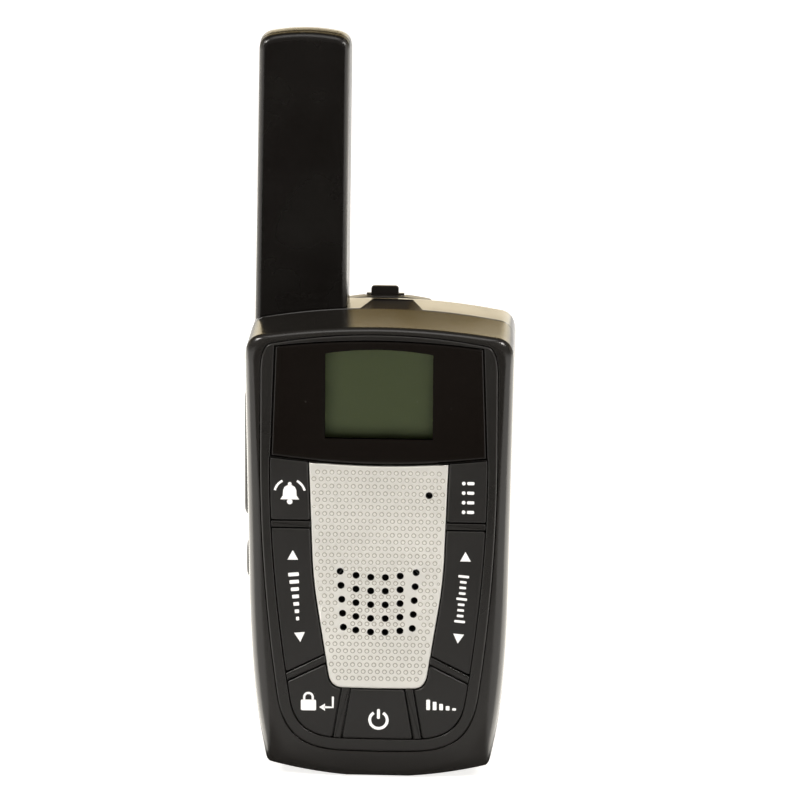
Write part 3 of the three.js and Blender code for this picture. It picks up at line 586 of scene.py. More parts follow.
CASING = plastic("casing_black", colour(0.0115, 0.0103, 0.0090), 0.21, grain=0.24, relief=0.012)
BEZEL = plastic("bezel_black", colour(0.012, 0.011, 0.0098), 0.30, grain=0.22, relief=0.003)
KEY = plastic("key_charcoal", colour(0.0125, 0.0115, 0.0105), 0.40, grain=0.18, relief=0.006, dust=0.12)
LENS_PRINT = plastic("lens_black", colour(0.0055, 0.0042, 0.0034), 0.07, grain=3.0, relief=0.0004,
                     dust=0.16, specular=0.3, wear=0.03)
ANTENNA = plastic("antenna_black", colour(0.0042, 0.0033, 0.0026), 0.27, grain=0.34, relief=0.045, dust=0.10)
# Lighter, dustier faces on the antenna's front edges: wear, and a painted highlight where the front edges
# turn to the sides.
ANTENNA_EDGE_WEAR_AND_HIGHLIGHT = plastic("antenna_edge_wear_and_painted_highlight", colour(0.020, 0.018, 0.016), 0.40, grain=0.34, relief=0.10,
                       dust=0.3)
RUBBER = plastic("side_rubber", colour(0.013, 0.012, 0.011), 0.55, grain=0.3, relief=0.01)
CLIP = plastic("clip_black", colour(0.018, 0.0155, 0.013), 0.36, grain=0.25, relief=0.005)
WHITE_INK = plastic("white_ink", colour(0.86, 0.86, 0.84), 0.5, grain=0.2, relief=0.002, dust=0.0)
SILVER = plastic("silver_paint", colour(0.74, 0.73, 0.685), 0.34, grain=0.15, relief=0.003, dust=0.02)
SILVER.node_tree.nodes["Principled BSDF"].inputs["Metallic"].default_value = 0.42
# Painted shade: a darker silver for the outer slopes of the grille's domes, where shade falls in the crease
# round each one.
PAINTED_SHADE_SILVER = plastic("silver_painted_shade", colour(0.33, 0.315, 0.275), 0.5, grain=0.15, relief=0.003, dust=0.0)
STEEL = metal("plated_steel", colour(0.55, 0.55, 0.54), 0.32)
BRASS = metal("bare_brass", colour(0.72, 0.55, 0.22), 0.3)
INNER_WHITE = plastic("white_plastic", colour(0.75, 0.74, 0.7), 0.45)
SILICONE = plastic("grey_silicone", colour(0.09, 0.09, 0.09), 0.6)
BOARD = plastic("board_green", colour(0.015, 0.10, 0.04), 0.4, grain=0.6, relief=0.02)
PAPER = plastic("cone_paper", colour(0.03, 0.027, 0.024), 0.85, grain=0.5, relief=0.03)
FERRITE = plastic("ferrite", colour(0.03, 0.03, 0.03), 0.5, grain=0.4, relief=0.02)
CELL = plastic("cell_wrap", colour(0.03, 0.09, 0.24), 0.3)


def screen_material():
    """A passive display: grey-green in soft blotches."""
    n = Nodes("display_green")
    cloud = n.noise(0.09, 2)
    n.put(n.shader, "Base Color", n.blend(cloud, colour(0.165, 0.190, 0.088), colour(0.195, 0.220, 0.115)))
    n.put(n.shader, "Roughness", 0.35)
    return n.material


def window_material():
    """Clear acrylic, thin enough to let light straight through, with a gloss face and a little dust."""
    n = Nodes("clear_window")
    clear = n.add("ShaderNodeBsdfTransparent", Color=colour(0.93, 0.95, 0.92)).outputs[0]
    gloss = n.add("ShaderNodeBsdfGlossy", Roughness=0.06).outputs[0]
    haze = n.add("ShaderNodeBsdfDiffuse", Color=colour(0.8, 0.82, 0.78)).outputs[0]
    fresnel = n.add("ShaderNodeFresnel", IOR=1.3).outputs[0]
    shine = n.mixed(fresnel, clear, gloss)
    n.replace_shader(n.mixed(n.specks(1.7, 0.06, 0.07), shine, haze))
    return n.material


SCREEN = screen_material()
WINDOW = window_material()


# ------------------------------------------------------------------ casings

def edge_depth(point):
    """How deep the face's edge rounding reaches: tight on top, soft down the sides."""
    if point.y > 95:
        return 2.8 - 1.1 * min(1.0, (point.y - 95) / 6)
    if point.y < 8:
        return 2.6 + 1.9 * max(0.0, (point.y - 2.5) / 5.5)
    return 4.5 - 1.7 * (point.y - 8) / 87


def front_body(name):
    face = body_outline(FACE_SIDE_INSET, FACE_LOW_INSET, FACE_TOP_DROP + FACE_TOP_INSET, FACE_BOTTOM_INSET, 1)
    wide = body_outline(top=FACE_TOP_DROP, corner=WIDE_CORNER)
    rings = []
    for turn in quarter(10):
        share, deep = math.sin(turn), 1 - math.cos(turn)
        spots = [(inner.lerp(outer, share), edge_depth(outer) * deep) for inner, outer in zip(face, wide)]
        rings.append([(p.x, FRONT_Y + depth, p.y) for p, depth in spots])
    back = PARTING - PARTING_GAP
    chamfer = PARTING_CHAMFER
    rings.append(at_depth(body_outline(side=0.1, top=FACE_TOP_DROP * 0.6, corner=WIDE_CORNER / 2), 8))
    rings.append(at_depth(body_outline(side=0.3), back - chamfer))
    rings.append(at_depth(body_outline(side=0.3 + chamfer, top=chamfer, bottom=chamfer), back))
    return loft(name, rings)


def rear_body(name, grow=0.0):
    front = PARTING + PARTING_GAP
    profile = [(PARTING_CHAMFER, front), (0, front + PARTING_CHAMFER)]
    profile += [(REAR_ROUND * (1 - math.cos(a)), BODY_DEPTH - REAR_ROUND * (1 - math.sin(a)))
                for a in quarter(10)]
    rings = []
    for amount, depth in profile:
        inward = amount - grow
        outline = body_outline(side=REAR_SIDE_INSET + amount - grow, top=inward, bottom=inward)
        rings.append(at_depth(outline, depth))
    return loft(name, rings)


def hollow(front, back):
    outline = body_outline(side=2.1, low=2.7, top=2.4, bottom=1.8)
    return slab("hollow", outline, [(0, front), (0, back)])


def rod(name, x, z, radius, front, back, sides=32):
    return slab(name, disc(x, z, radius, sides), [(0, front), (0, back)])


def pill(x, z, half_x, half_z, steps):
    """A tall outline with round ends."""
    points = []
    for centre, start in ((z + half_z - half_x, 0.0), (z - half_z + half_x, math.pi)):
        for i in range(steps + 1):
            a = start + math.pi * i / steps
            points.append(Vector((x + half_x * math.cos(a), centre + half_x * math.sin(a))))
    return points


def leftward(name, outline, profile):
    """A body whose (depth, z) outline is inset by the first of each (inset, x) pair, from right to left."""
    return loft(name, [[(x, FRONT_Y + p.x, p.y) for p in (inset(outline, amount) if amount else outline)]
                       for amount, x in profile])


def side_slot(low, high, wall):
    """A slot through the left wall for a side button, with its rim rounded."""
    outline = pill(SIDE_BUTTON_DEPTH, (low + high) / 2, SIDE_BUTTON_HALF + 0.3, (high - low) / 2 + 0.3, 14)
    return leftward("side_slot", outline, [(0, -20), (0, -wall + 0.5), (-0.06, -wall + 0.25),
                                           (-0.2, -wall + 0.08), (-0.5, -wall - 0.02), (-0.5, -wall - 3)])


def make_front_casing():
    casing = front_body("front_casing_shell")
    pocket = slab("pocket", inset(bezel_outline(), -HALF_GROOVE), flare(0.16, 0, 2.6))
    cut(casing, hollow(4, 16), pocket)
    cut(casing, block("window", (-15.2, 1, 76.2), (15.2, 5, 99.4)))
    cut(casing, rod("speaker_opening", 0, SPEAKER_Z, SPEAKER_OPENING_R, 1, 5, 48))
    cut(casing, rod("mic_opening", *MIC, 4.3, 1, 5))
    for x, z in STEMS:
        cut(casing, block("stem_hole", (x - 1.9, 1, z - 1.9), (x + 1.9, 5, z + 1.9)))
    cut(casing, side_slot(TALK_LOW, TALK_HIGH, 28.95), side_slot(MONITOR_LOW, MONITOR_HIGH, 28.6))
    cut(casing, jack_block(0.15), crossbar("jack_bore", JACK_DEPTH, JACK_Z, 2.3, 26, 32))
    return finish_piece(casing, CASING, "casing", "casing", "front_casing")


def crossbar(name, depth, z, radius, low, high, sides=32):
    """A round bar along x."""
    ring = disc(depth, z, radius, sides)
    return loft(name, [[(x, FRONT_Y + p.x, p.y) for p in ring] for x in (low, high)])


def jack_block(grow):
    outline = rounded(box_outline(JACK_DEPTH - 3.4 - grow, JACK_Z - 6 - grow,
                                  JACK_DEPTH + 3.4 + grow, JACK_Z + 6 + grow), 0.9)
    return leftward("jack_block", outline, [(0, 28.5 - grow), (0, 32)])


def make_jack_cover():
    cover = cut(front_body("jack_cover_shell"), jack_block(0), operation="INTERSECT")
    bevelled(cover, 0.18, 2)
    return finish_piece(cover, RUBBER, "jack_cover", "side_rubber", "jack_cover")


def hull(name, points):
    """The convex body round some (x, depth, z) points."""
    mesh = bmesh.new()
    for x, depth, z in points:
        mesh.verts.new(Vector((x, FRONT_Y + depth, z)) * MM)
    result = bmesh.ops.convex_hull(mesh, input=mesh.verts)
    bmesh.ops.delete(mesh, geom=result["geom_interior"], context="VERTS")
    return piece_from(mesh, name, tidy_normals=False)


def thumb_scoop():
    """The hollow in the top edge with sloping sides and a floor that rises to the back."""
    rim = [(-5.1, 15, 104.2), (9, 15, 104.2), (6.3, 24.4, 104.2), (-2.6, 24.4, 104.2)]
    floor_points = [(-2.6, 15, 102.2), (5.6, 15, 102.2), (5.1, 22.9, 103.7), (-1.2, 22.9, 103.7)]
    above = [(x, d, 108) for x, d, _ in rim]
    return hull("thumb_scoop", rim + floor_points + above)


def back_flare(radius, front, back):
    """The profile of a cutter from the back that leaves a rounded rim at depth back."""
    rim = [(-radius * (1 - math.cos(a)), back - radius + radius * math.sin(a)) for a in quarter(4)]
    return [(0, front)] + rim + [(-radius, back + 2)]


def tongue():
    """The lip of the rear casing that reaches into the front casing and closes the parting gap."""
    def rim(inward, front, back):
        outline = body_outline(side=inward, low=inward + 0.6, top=inward + 0.3, bottom=inward - 0.3)
        return slab("tongue_rim", outline, [(0, front), (0, back)])
    lip = join(rim(2.35, 13.7, 15.4), rim(1.8, 15.3, 17))
    return cut(lip, rim(3.0, 13, 18))


def make_rear_casing():
    casing = rear_body("rear_casing_shell")
    cut(casing, hollow(14, 24.6))
    join(casing, block("tray", (-17.7, 14.1, 11.8), (17.7, 25.1, 66.2)))
    cut(casing, block("tray_inside", (-16.5, 15.1, 13), (16.5, 30, 65)))
    recess = rounded(box_outline(-DOOR_HALF - 0.2, -5, DOOR_HALF + 0.2, DOOR_TOP + 0.2), 0.8)
    cut(casing, slab("door_recess", recess, back_flare(0.25, DOOR_FRONT - 0.3, BODY_DEPTH)))
    join(casing, block("rail_neck", (-4, 27, RAIL_LOW), (4, 29.2, RAIL_TOP)))
    rail = rounded(box_outline(-6.4, RAIL_LOW, 6.4, RAIL_TOP), 0.6)
    head = slab("rail_head", rail, [(0.25, 29.1), (0, 29.3), (0, 29.9), (0.25, 30.1)])
    join(casing, head)
    join(casing, tongue())
    for x, z in SCREWS:
        join(casing, rod("screw_boss", x, z, 3.2, 15.15, 25.1))
        cut(casing, slab("counterbore", disc(x, z, 2.5, 40), back_flare(0.3, 19, BODY_DEPTH)))
        cut(casing, rod("screw_hole", x, z, 1.5, 14, 20, 24))
    cut(casing, block("antenna_socket", (-24.3, 17.7, 94), (-11, 26.3, 110)))
    cut(casing, thumb_scoop())
    cut(casing, block("scoop_slot", (-3.0, 14.5, 99.6), (5.4, 19.2, 103.4)))
    return finish_piece(casing, CASING, "casing", "casing", "rear_casing")


def make_battery_door():
    """The door slides down; a thumb finds the ridges in the round dip near its top."""
    outline = rounded(box_outline(-DOOR_HALF, -5, DOOR_HALF, DOOR_TOP), 0.7)
    tool = slab("door_block", outline, [(0, DOOR_FRONT), (0, 27.6), (0.1, 27.85), (0.3, 28.02)])
    door = cut(rear_body("battery_door_shell"), tool, operation="INTERSECT")
    dip = stadium(0, 57.5, 8.5, 5.0, 24)
    cut(door, slab("thumb_dip", dip, [(1.2, 27.35), (0.5, 27.5), (0, 28), (-0.5, 28.6)]))
    for row in range(4):
        ridge = rounded(box_outline(-5.2, 54.3 + row * 2.0, 5.2, 55.1 + row * 2.0), 0.35)
        join(door, slab("ridge", ridge, [(0, 27.2), (0, 27.65), (0.12, 27.85)]))
    return finish_piece(door, CASING, "battery_door", "casing", "battery_door")


def stadium(x, z, half_x, half_z, steps):
    """A wide outline with round ends."""
    return [Vector((x + p.y, z - p.x)) for p in pill(0, 0, half_z, half_x, steps)]


# ------------------------------------------------------------------ face

# Right-hand ribs between the keys, each as the ends of its centre line and its half width.
RIBS = [((13, 58.65), (24.6, 58.65), 0.85),
        ((8, 29.52), (21.6, 22.62), 0.95),
        ((6.7, 22.76), (9.1, 8.6), 0.98)]


def rib_sides(number, extra):
    """The two sides of a rib, each as (a point, the normal that points away from the rib)."""
    start, end, half = (Vector(RIBS[number][0]), Vector(RIBS[number][1]), RIBS[number][2] + extra)
    along = (end - start).normalized()
    left = Vector((-along.y, along.x))
    return (start + left * half, left), (start - left * half, -left)


def outside(points, side):
    origin, normal = side
    return clip(points, origin, -normal)


def inside(points, side):
    origin, normal = side
    return clip(points, origin, normal)


def key_band(outer_gap, inner_gap):
    """The right half of the field round the grille, anticlockwise from the bottom centre."""
    outer, inner = field_half(outer_gap), grille_side(inner_gap)
    low, high = inner[-2], inner[-1]
    kept = []
    for here in outer:
        share = (here.y - low.y) / (high.y - low.y)
        grille_x = low.x + (high.x - low.x) * share
        if kept and here.y > 60 and here.x < grille_x:
            kept.append(Vector((grille_x, here.y)))
            break
        kept.append(here)
    return kept + list(reversed(inner[:-1]))


def key_outlines():
    """Each key's outline by name. The left keys mirror the right ones."""
    band = key_band(HALF_GROOVE, 2 * HALF_GROOVE)
    top, middle, low = (rib_sides(i, HALF_GROOVE) for i in range(3))
    mode = outside(band, top[0])
    channel = outside(outside(band, top[1]), middle[0])
    hi_lo = outside(outside(band, middle[1]), low[0])
    right_power = [p for p in outside(band, low[1]) if p.x > 1e-6]
    foot = [p for p in right_power if p.y < 15]
    head = [p for p in right_power if p.y >= 15]
    power = foot + head + flipped(foot + head)
    return {"mode_key": mode, "call_key": flipped(mode), "channel_rocker": channel,
            "volume_rocker": flipped(channel), "hi_lo_key": hi_lo, "lock_enter_key": flipped(hi_lo),
            "power_key": power}


def rib_outline(number):
    """A rib's own outline: between the grille and the groove that runs round inside the trim ring."""
    band = key_band(HALF_GROOVE, HALF_GROOVE)
    first, second = rib_sides(number, -HALF_GROOVE)
    return inside(inside(band, first), second)


KEY_STEMS = {
    "call_key": [(-19.6, 65.5)], "mode_key": [(19.6, 65.5)],
    "volume_rocker": [(-18.9, 51.5), (-17.3, 33)], "channel_rocker": [(18.9, 51.5), (17.3, 33)],
    "lock_enter_key": [(-13.4, 15.5)], "power_key": [(0, 13.8)], "hi_lo_key": [(13.4, 15.5)],
}
STEMS = [stem for stems in KEY_STEMS.values() for stem in stems]


def make_face_bezel():
    """The trim ring, the ribs between the keys, and the web behind the keys that carries them."""
    outer = [(0.42, BEZEL_CREST), (0.26, BEZEL_CREST + 0.03), (0.1, BEZEL_CREST + 0.12),
             (0, BEZEL_CREST + 0.3), (0, WEB_BACK)]
    bezel = slab("face_bezel_ring", bezel_outline(), outer)
    cut(bezel, slab("lens_seat", inset(lens_outline(), -0.12), flare(0.18, BEZEL_CREST, 1.25)))
    field = mirrored(field_half(0))
    cut(bezel, slab("key_field", field, flare(0.22, BEZEL_CREST, WEB_FRONT)))
    for number in range(3):
        right = rounded(rib_outline(number), 0.25, 4)
        for outline in (right, flipped(right)):
            rib = slab("rib", outline, round_edge(0.3, -0.12, 4, 0.25) + [(0, WEB_FRONT + 0.2)])
            join(bezel, rib)
    cut(bezel, slab("web_window", box_outline(-12.6, 77.4, 12.6, 99.2), [(0, 0), (0, 3)]))
    cut(bezel, rod("web_speaker", 0, SPEAKER_Z, SPEAKER_OPENING_R, 1.7, 3, 48))
    cut(bezel, rod("web_mic", *MIC, 1.2, 1.7, 3))
    for x, z in STEMS:
        cut(bezel, block("web_stem", (x - 1.5, 1.7, z - 1.5), (x + 1.5, 3, z + 1.5)))
    return finish_piece(bezel, BEZEL, "casing", "bezel", "face_bezel", angle=40)


def make_keys():
    for name, outline in key_outlines().items():
        cap = rounded(outline, 0.55, 5)
        profile = round_edge(0.4, KEY_FRONT, 6, 0.32) + [(0, KEY_BACK)]
        key = slab(name + "_cap", cap, profile)
        for x, z in KEY_STEMS[name]:
            join(key, block("stem", (x - 1.1, KEY_BACK - 0.1, z - 1.1), (x + 1.1, 3.5, z + 1.1)))
        finish_piece(key, KEY, name, "key", name, angle=40)


def speaker_holes():
    """Rows that sag in the middle, in columns that draw together downwards."""
    holes = []
    for row in range(5):
        for column in (1.62, 4.9, 8.43 - 0.19 * row):
            z = SPEAKER_Z + 6.35 - HOLE_ROW_PITCH * row + 0.018 * column * column
            holes += [(-column, z), (column, z)]
    return holes


def contains(outline, point):
    """True if a point lies inside a closed outline."""
    hits = False
    for i, b in enumerate(outline):
        a = outline[i - 1]
        if (a.y > point.y) != (b.y > point.y):
            if point.x < a.x + (b.x - a.x) * (point.y - a.y) / (b.y - a.y):
                hits = not hits
    return hits


def nearest(outline, point):
    """The distance from a point to a closed outline."""
    best = 1e9
    for i, b in enumerate(outline):
        a = outline[i - 1]
        along = b - a
        share = max(0.0, min(1.0, (point - a).dot(along) / max(along.length_squared, 1e-12)))
        best = min(best, (a + along * share - point).length)
    return best


def fill(mesh, loops, rings, keep, flip=False):
    """Triangles between closed outlines, where keep(centre) says so. rings are the outlines' vertices."""
    flat = [Vector(p) for loop in loops for p in loop]
    edges, start = [], 0
    for loop in loops:
        count = len(loop)
        edges += [(start + i, start + (i + 1) % count) for i in range(count)]
        start += count
    verts, _, faces, origins, _, _ = delaunay_2d_cdt(flat, edges, [], 0, 1e-7, True)
    known = [v for ring in rings for v in ring]
    for face in faces:
        centre = sum((verts[i] for i in face), Vector((0, 0))) / len(face)
        if keep(centre):
            corners = [known[origins[i][0]] for i in face]
            if flip:
                corners.reverse()
            mesh.faces.new(corners).smooth = True


def ring_of(mesh, outline, depth):
    return [mesh.verts.new(Vector((p.x, FRONT_Y + depth, p.y)) * MM) for p in outline]


def wall(mesh, front, back, material=0):
    """Quads between two rings of vertices that run anticlockwise seen from the front."""
    count = len(front)
    for i in range(count):
        j = (i + 1) % count
        face = mesh.faces.new((front[i], back[i], back[j], front[j]))
        face.smooth = True
        face.material_index = material


def bump_centres(edge, holes):
    """The staggered rows of small domes as (centre, size), left out at a hole and smaller at the edge."""
    centres = []
    for row in range(-2, 34):
        shift = BUMP_PITCH / 2 if row % 2 == 0 else 0.0
        for column in range(-11, 12):
            point = Vector((column * BUMP_PITCH + shift - 0.05, BUMP_LOW + BUMP_PITCH * row))
            clear = all((point - hole).length > HOLE_R + BUMP_R + 0.05 for hole in holes)
            if clear and contains(edge, point):
                size = min(1.0, (nearest(edge, point) - 0.03) / BUMP_R)
                if size > 0.45:
                    centres.append((point, size))
    return centres


def grille_edge(amount):
    """The grille's outline, drawn in by amount, and by twice that along its foot."""
    outline = grille_outline()
    moved = inset(outline, amount)
    return [Vector((m.x, m.y + amount * 0.9 * max(0.0, min(1.0, (23.5 - p.y) / 2.5))))
            for p, m in zip(outline, moved)]


def make_speaker_grille():
    """A silver plate with a rounded rim, through holes and rows of small domes, with painted shade on the
    domes' outer slopes.
    """
    outline, edge = grille_outline(), grille_edge(0.38)
    holes = [Vector(hole) for hole in speaker_holes() + [MIC]]
    bumps = bump_centres(edge, holes)
    mesh = bmesh.new()
    rings = [ring_of(mesh, grille_edge(0.38 * (1 - math.sin(a))), GRILLE_FRONT + 0.34 * (1 - math.cos(a)))
             for a in quarter(4)]
    rings.append(ring_of(mesh, outline, GRILLE_BACK))
    for near, far in zip(rings, rings[1:]):
        wall(mesh, near, far)
    loops, vertices = [edge], [rings[0]]
    back_loops, back_vertices = [outline], [rings[-1]]
    for hole in holes:
        rim, bore = disc(*hole, HOLE_R + 0.06, 20), disc(*hole, HOLE_R, 20)
        front = ring_of(mesh, rim, GRILLE_FRONT)
        inner = ring_of(mesh, bore, GRILLE_FRONT + 0.08)
        back = ring_of(mesh, bore, GRILLE_BACK)
        wall(mesh, front[::-1], inner[::-1])
        wall(mesh, inner[::-1], back[::-1], material=2)
        loops.append(rim)
        vertices.append(front)
        back_loops.append(bore)
        back_vertices.append(back)
    for centre, size in bumps:
        base = disc(*centre, BUMP_R * size, BUMP_SIDES)
        lower = ring_of(mesh, base, GRILLE_FRONT)
        loops.append(base)
        vertices.append(lower)
        for radius, height in BUMP_SHAPE:
            upper = ring_of(mesh, disc(*centre, radius * size, BUMP_SIDES), GRILLE_FRONT - height)
            # The outer slopes of each dome get the painted shade material.
            wall(mesh, upper, lower, material=1 if radius >= PAINTED_SHADE_R else 0)
            lower = upper
        mesh.faces.new(lower).smooth = True

    def in_hole(point):
        return any((point - hole).length < HOLE_R for hole in holes)

    def in_bump(point):
        return any(abs(point.x - centre.x) < BUMP_R and (point - centre).length < BUMP_R * size * 0.97
                   for centre, size in bumps)

    def on_front(point):
        return contains(edge, point) and not in_hole(point) and not in_bump(point)

    def on_back(point):
        return contains(outline, point) and not in_hole(point)

    fill(mesh, loops, vertices, on_front)
    fill(mesh, back_loops, back_vertices, on_back, flip=True)
    grille = piece_from(mesh, "speaker_grille_plate")
    indices = [polygon.material_index for polygon in grille.data.polygons]
    finish_piece(grille, SILVER, "casing", "silver", "speaker_grille", angle=50)
    # The second material is the painted shade on the domes' outer slopes.
    grille.data.materials.append(PAINTED_SHADE_SILVER)
    grille.data.materials.append(BEZEL)
    for polygon, index in zip(grille.data.polygons, indices):
        polygon.material_index = index
    return grille


def make_display_lens():
    """A clear plate, printed black behind except for the window."""
    outline, screen = inset(lens_outline(), 0.1), screen_outline()
    face = inset(outline, 0.6)
    mesh = bmesh.new()
    rings = [ring_of(mesh, inset(outline, 0.6 * (1 - math.sin(a))), 0.5 * (1 - math.cos(a)))
             for a in quarter(5)]
    rings.append(ring_of(mesh, outline, LENS_BACK))
    for near, far in zip(rings, rings[1:]):
        wall(mesh, near, far)
    screens = [ring_of(mesh, screen, 0), ring_of(mesh, screen, LENS_BACK)]
    fill(mesh, [face, screen], [rings[0], screens[0]], lambda c: contains(face, c))
    fill(mesh, [outline, screen], [rings[-1], screens[1]], lambda c: contains(outline, c), flip=True)
    lens = piece_from(mesh, "display_lens_plate")
    finish_piece(lens, LENS_PRINT, "casing", "lens", "display_lens", angle=50)
    lens.data.materials.append(WINDOW)
    for polygon in lens.data.polygons:
        centre = Vector((polygon.center.x, polygon.center.z)) / MM
        if abs(polygon.normal.y) > 0.99 and contains(screen, centre):
            polygon.material_index = 1
    return lens


# ------------------------------------------------------------------ legends

INK = 0.03                # how far the ink stands out


def print_on(key, name, outlines):
    """A printed legend: thin closed shapes on a key's face."""
    mesh = bmesh.new()
    for outline in outlines:
        front, back = ring_of(mesh, outline, KEY_FRONT - INK), ring_of(mesh, outline, KEY_FRONT + 0.01)
        wall(mesh, front, back)
        for a, b, c in fill_simple(outline):
            mesh.faces.new((front[a], front[b], front[c]))
            mesh.faces.new((back[c], back[b], back[a]))
    legend = piece_from(mesh, name)
    legend.data.materials.append(WHITE_INK)
    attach(legend, key)


def fill_simple(outline):
    """Triangles of one closed outline, as indices into it."""
    triangles = tessellate_polygon([[Vector((p.x, p.y, 0)) for p in outline]])
    result = []
    for a, b, c in triangles:
        area = (outline[b] - outline[a]).cross(outline[c] - outline[a])
        if abs(area) > 1e-9:
            result.append((a, b, c) if area > 0 else (a, c, b))
    return result


def stroke(points, width):
    """A band of constant width along a line."""
    half = width / 2
    points = [Vector(p) for p in points]
    left, right = [], []
    for i, p in enumerate(points):
        before = points[max(i - 1, 0)]
        after = points[min(i + 1, len(points) - 1)]
        along = (after - before).normalized()
        normal = Vector((-along.y, along.x)) * half
        left.append(p + normal)
        right.append(p - normal)
    return right + list(reversed(left))


def arc(x, z, radius, start, end, steps=20):
    """Points on an arc between two angles in degrees."""
    angles = [math.radians(start + (end - start) * i / steps) for i in range(steps + 1)]
    return [Vector((x + radius * math.cos(a), z + radius * math.sin(a))) for a in angles]


def moved(outline, x, z, turn=0.0):
    """An outline turned by degrees about its origin, then moved."""
    c, s = math.cos(math.radians(turn)), math.sin(math.radians(turn))
    return [Vector((x + p.x * c - p.y * s, z + p.x * s + p.y * c)) for p in outline]


def triangle(x, z, width, height, turn=0.0):
    half_x, half_z = width / 2, height / 2
    return moved([Vector((-half_x, -half_z)), Vector((half_x, -half_z)), Vector((0, half_z))], x, z, turn)


def make_legends():
    """Pictograms in place of words: ringing, a list, a volume ramp, a tuning scale, a lock with a return
    arrow, the power sign and falling signal bars."""
    side = [(0.5, 2.0), (1.15, 1.6), (1.45, 0.9), (1.55, -0.4), (2.1, -1.25)]
    bell = [Vector((-x, z)) for x, z in side] + [Vector((x, z)) for x, z in reversed(side)]
    sound = [stroke(arc(0, 0, 3.4, turn - 24, turn + 24), 0.5) for turn in (38, 142)]
    ringing = [bell, disc(0, -1.75, 0.62, 16), disc(0, 2.3, 0.42, 16)] + sound
    print_on("call_key", "legend_call", [moved(shape, -19.64, 65.6) for shape in ringing])
    rows = []
    for row in range(4):
        z = 68.7 - 2.2 * row
        rows += [disc(18.85, z, 0.42, 16), rounded(box_outline(19.6, z - 0.36, 21.2, z + 0.36), 0.3, 4)]
    print_on("mode_key", "legend_mode", rows)
    slope = math.degrees(math.atan2(1.6, 18.0))
    ramp = [triangle(-18.94, 51.6, 2.4, 2.2), triangle(-17.34, 32.6, 2.4, 2.2, 180 + slope)]
    for step in range(7):
        half = 0.35 + 0.14 * step
        bar = rounded(box_outline(-half, -0.42, half, 0.42), 0.2, 3)
        z = 36.9 + 1.7 * step
        ramp.append(moved(bar, -18.28 + (41.65 - z) * 0.089, z, slope))
    print_on("volume_rocker", "legend_volume", ramp)
    scale = [triangle(19.36, 51.9, 2.4, 2.2), triangle(17.9, 32.9, 2.4, 2.2, 180 - slope)]
    for step in range(9):
        half = 1.2 if step % 4 == 0 else 0.75
        bar = rounded(box_outline(-half, -0.28, half, 0.28), 0.2, 3)
        z = 36.9 + 1.3 * step
        scale.append(moved(bar, 18.6 + (z - 42.1) * 0.08, z, -slope))
    print_on("channel_rocker", "legend_channel", scale)
    lock = [rounded(box_outline(-17.1, 15.6, -13.7, 18.1), 0.35, 4),
            stroke([(-16.35, 18.0)] + arc(-15.4, 18.7, 0.95, 180, 0) + [(-14.45, 18.0)], 0.5)]
    arrow = [stroke([(-9.95, 18.9), (-9.95, 16.4), (-11.9, 16.4)], 0.5),
             triangle(-12.35, 16.4, 1.7, 1.3, 90)]
    print_on("lock_enter_key", "legend_lock_enter", lock + arrow)
    ring = stroke(arc(0.25, 13.65, 1.95, 122, 418, 48), 0.66)
    bar = rounded(box_outline(-0.08, 13.9, 0.58, 16.2), 0.28, 5)
    print_on("power_key", "legend_power", [ring, bar])
    bars = [rounded(box_outline(10.9 + 1.45 * i, 16.2, 11.75 + 1.45 * i, 18.6 - 0.46 * i), 0.18, 3)
            for i in range(5)]
    print_on("hi_lo_key", "legend_hi_lo", bars)


# ------------------------------------------------------------------ side buttons and antenna

def make_side_button(name, low, high, crest, ribs):
    """A soft capsule that stands out of its slot, with a flange inside that keeps it in."""
    centre, half_z = (low + high) / 2, (high - low) / 2
    outline = pill(SIDE_BUTTON_DEPTH, centre, SIDE_BUTTON_HALF, half_z, 16)
    profile = [(0, -25.3), (0, -crest + 1.3)]
    profile += [(1.5 * (1 - math.cos(a)), -crest + 1.25 - 1.25 * math.sin(a)) for a in quarter(6)]
    button = leftward(name + "_cap", outline, profile)
    flange = rounded(box_outline(SIDE_BUTTON_DEPTH - SIDE_BUTTON_HALF - 0.8, low - 0.8,
                                 SIDE_BUTTON_DEPTH + SIDE_BUTTON_HALF + 0.8, high + 0.8), 1.0)
    join(button, leftward("flange", flange, [(0, -25.4), (0, -26.1)]))
    for i in range(ribs):
        z = centre + (i - (ribs - 1) / 2) * 2.1
        groove = stadium(SIDE_BUTTON_DEPTH, z, 1.6, 0.32, 6)
        profile = [(0.12, -crest + 0.25), (0, -crest + 0.1), (-0.25, -crest - 0.2)]
        cut(button, leftward("groove", groove, profile))
    return finish_piece(button, RUBBER, name, "side_rubber", name, angle=45)


def antenna_outline(drop):
    """The blade from the front: nearly straight sides and an arched head with round corners."""
    pen = Pen((-18, 100), 12)
    pen.line(-8.05, 100)
    pen.line(-7.6, 163.0 - drop, steps=8)
    pen.quad(-7.6, 165.3 - drop, -10.6, 165.85 - drop)
    pen.quad(-17.6, 167.05 - drop, -24.7, 165.75 - drop)
    pen.quad(-27.5, 165.2 - drop, -27.55, 162.7 - drop)
    pen.line(-28.55, 100, steps=8)
    return pen.points


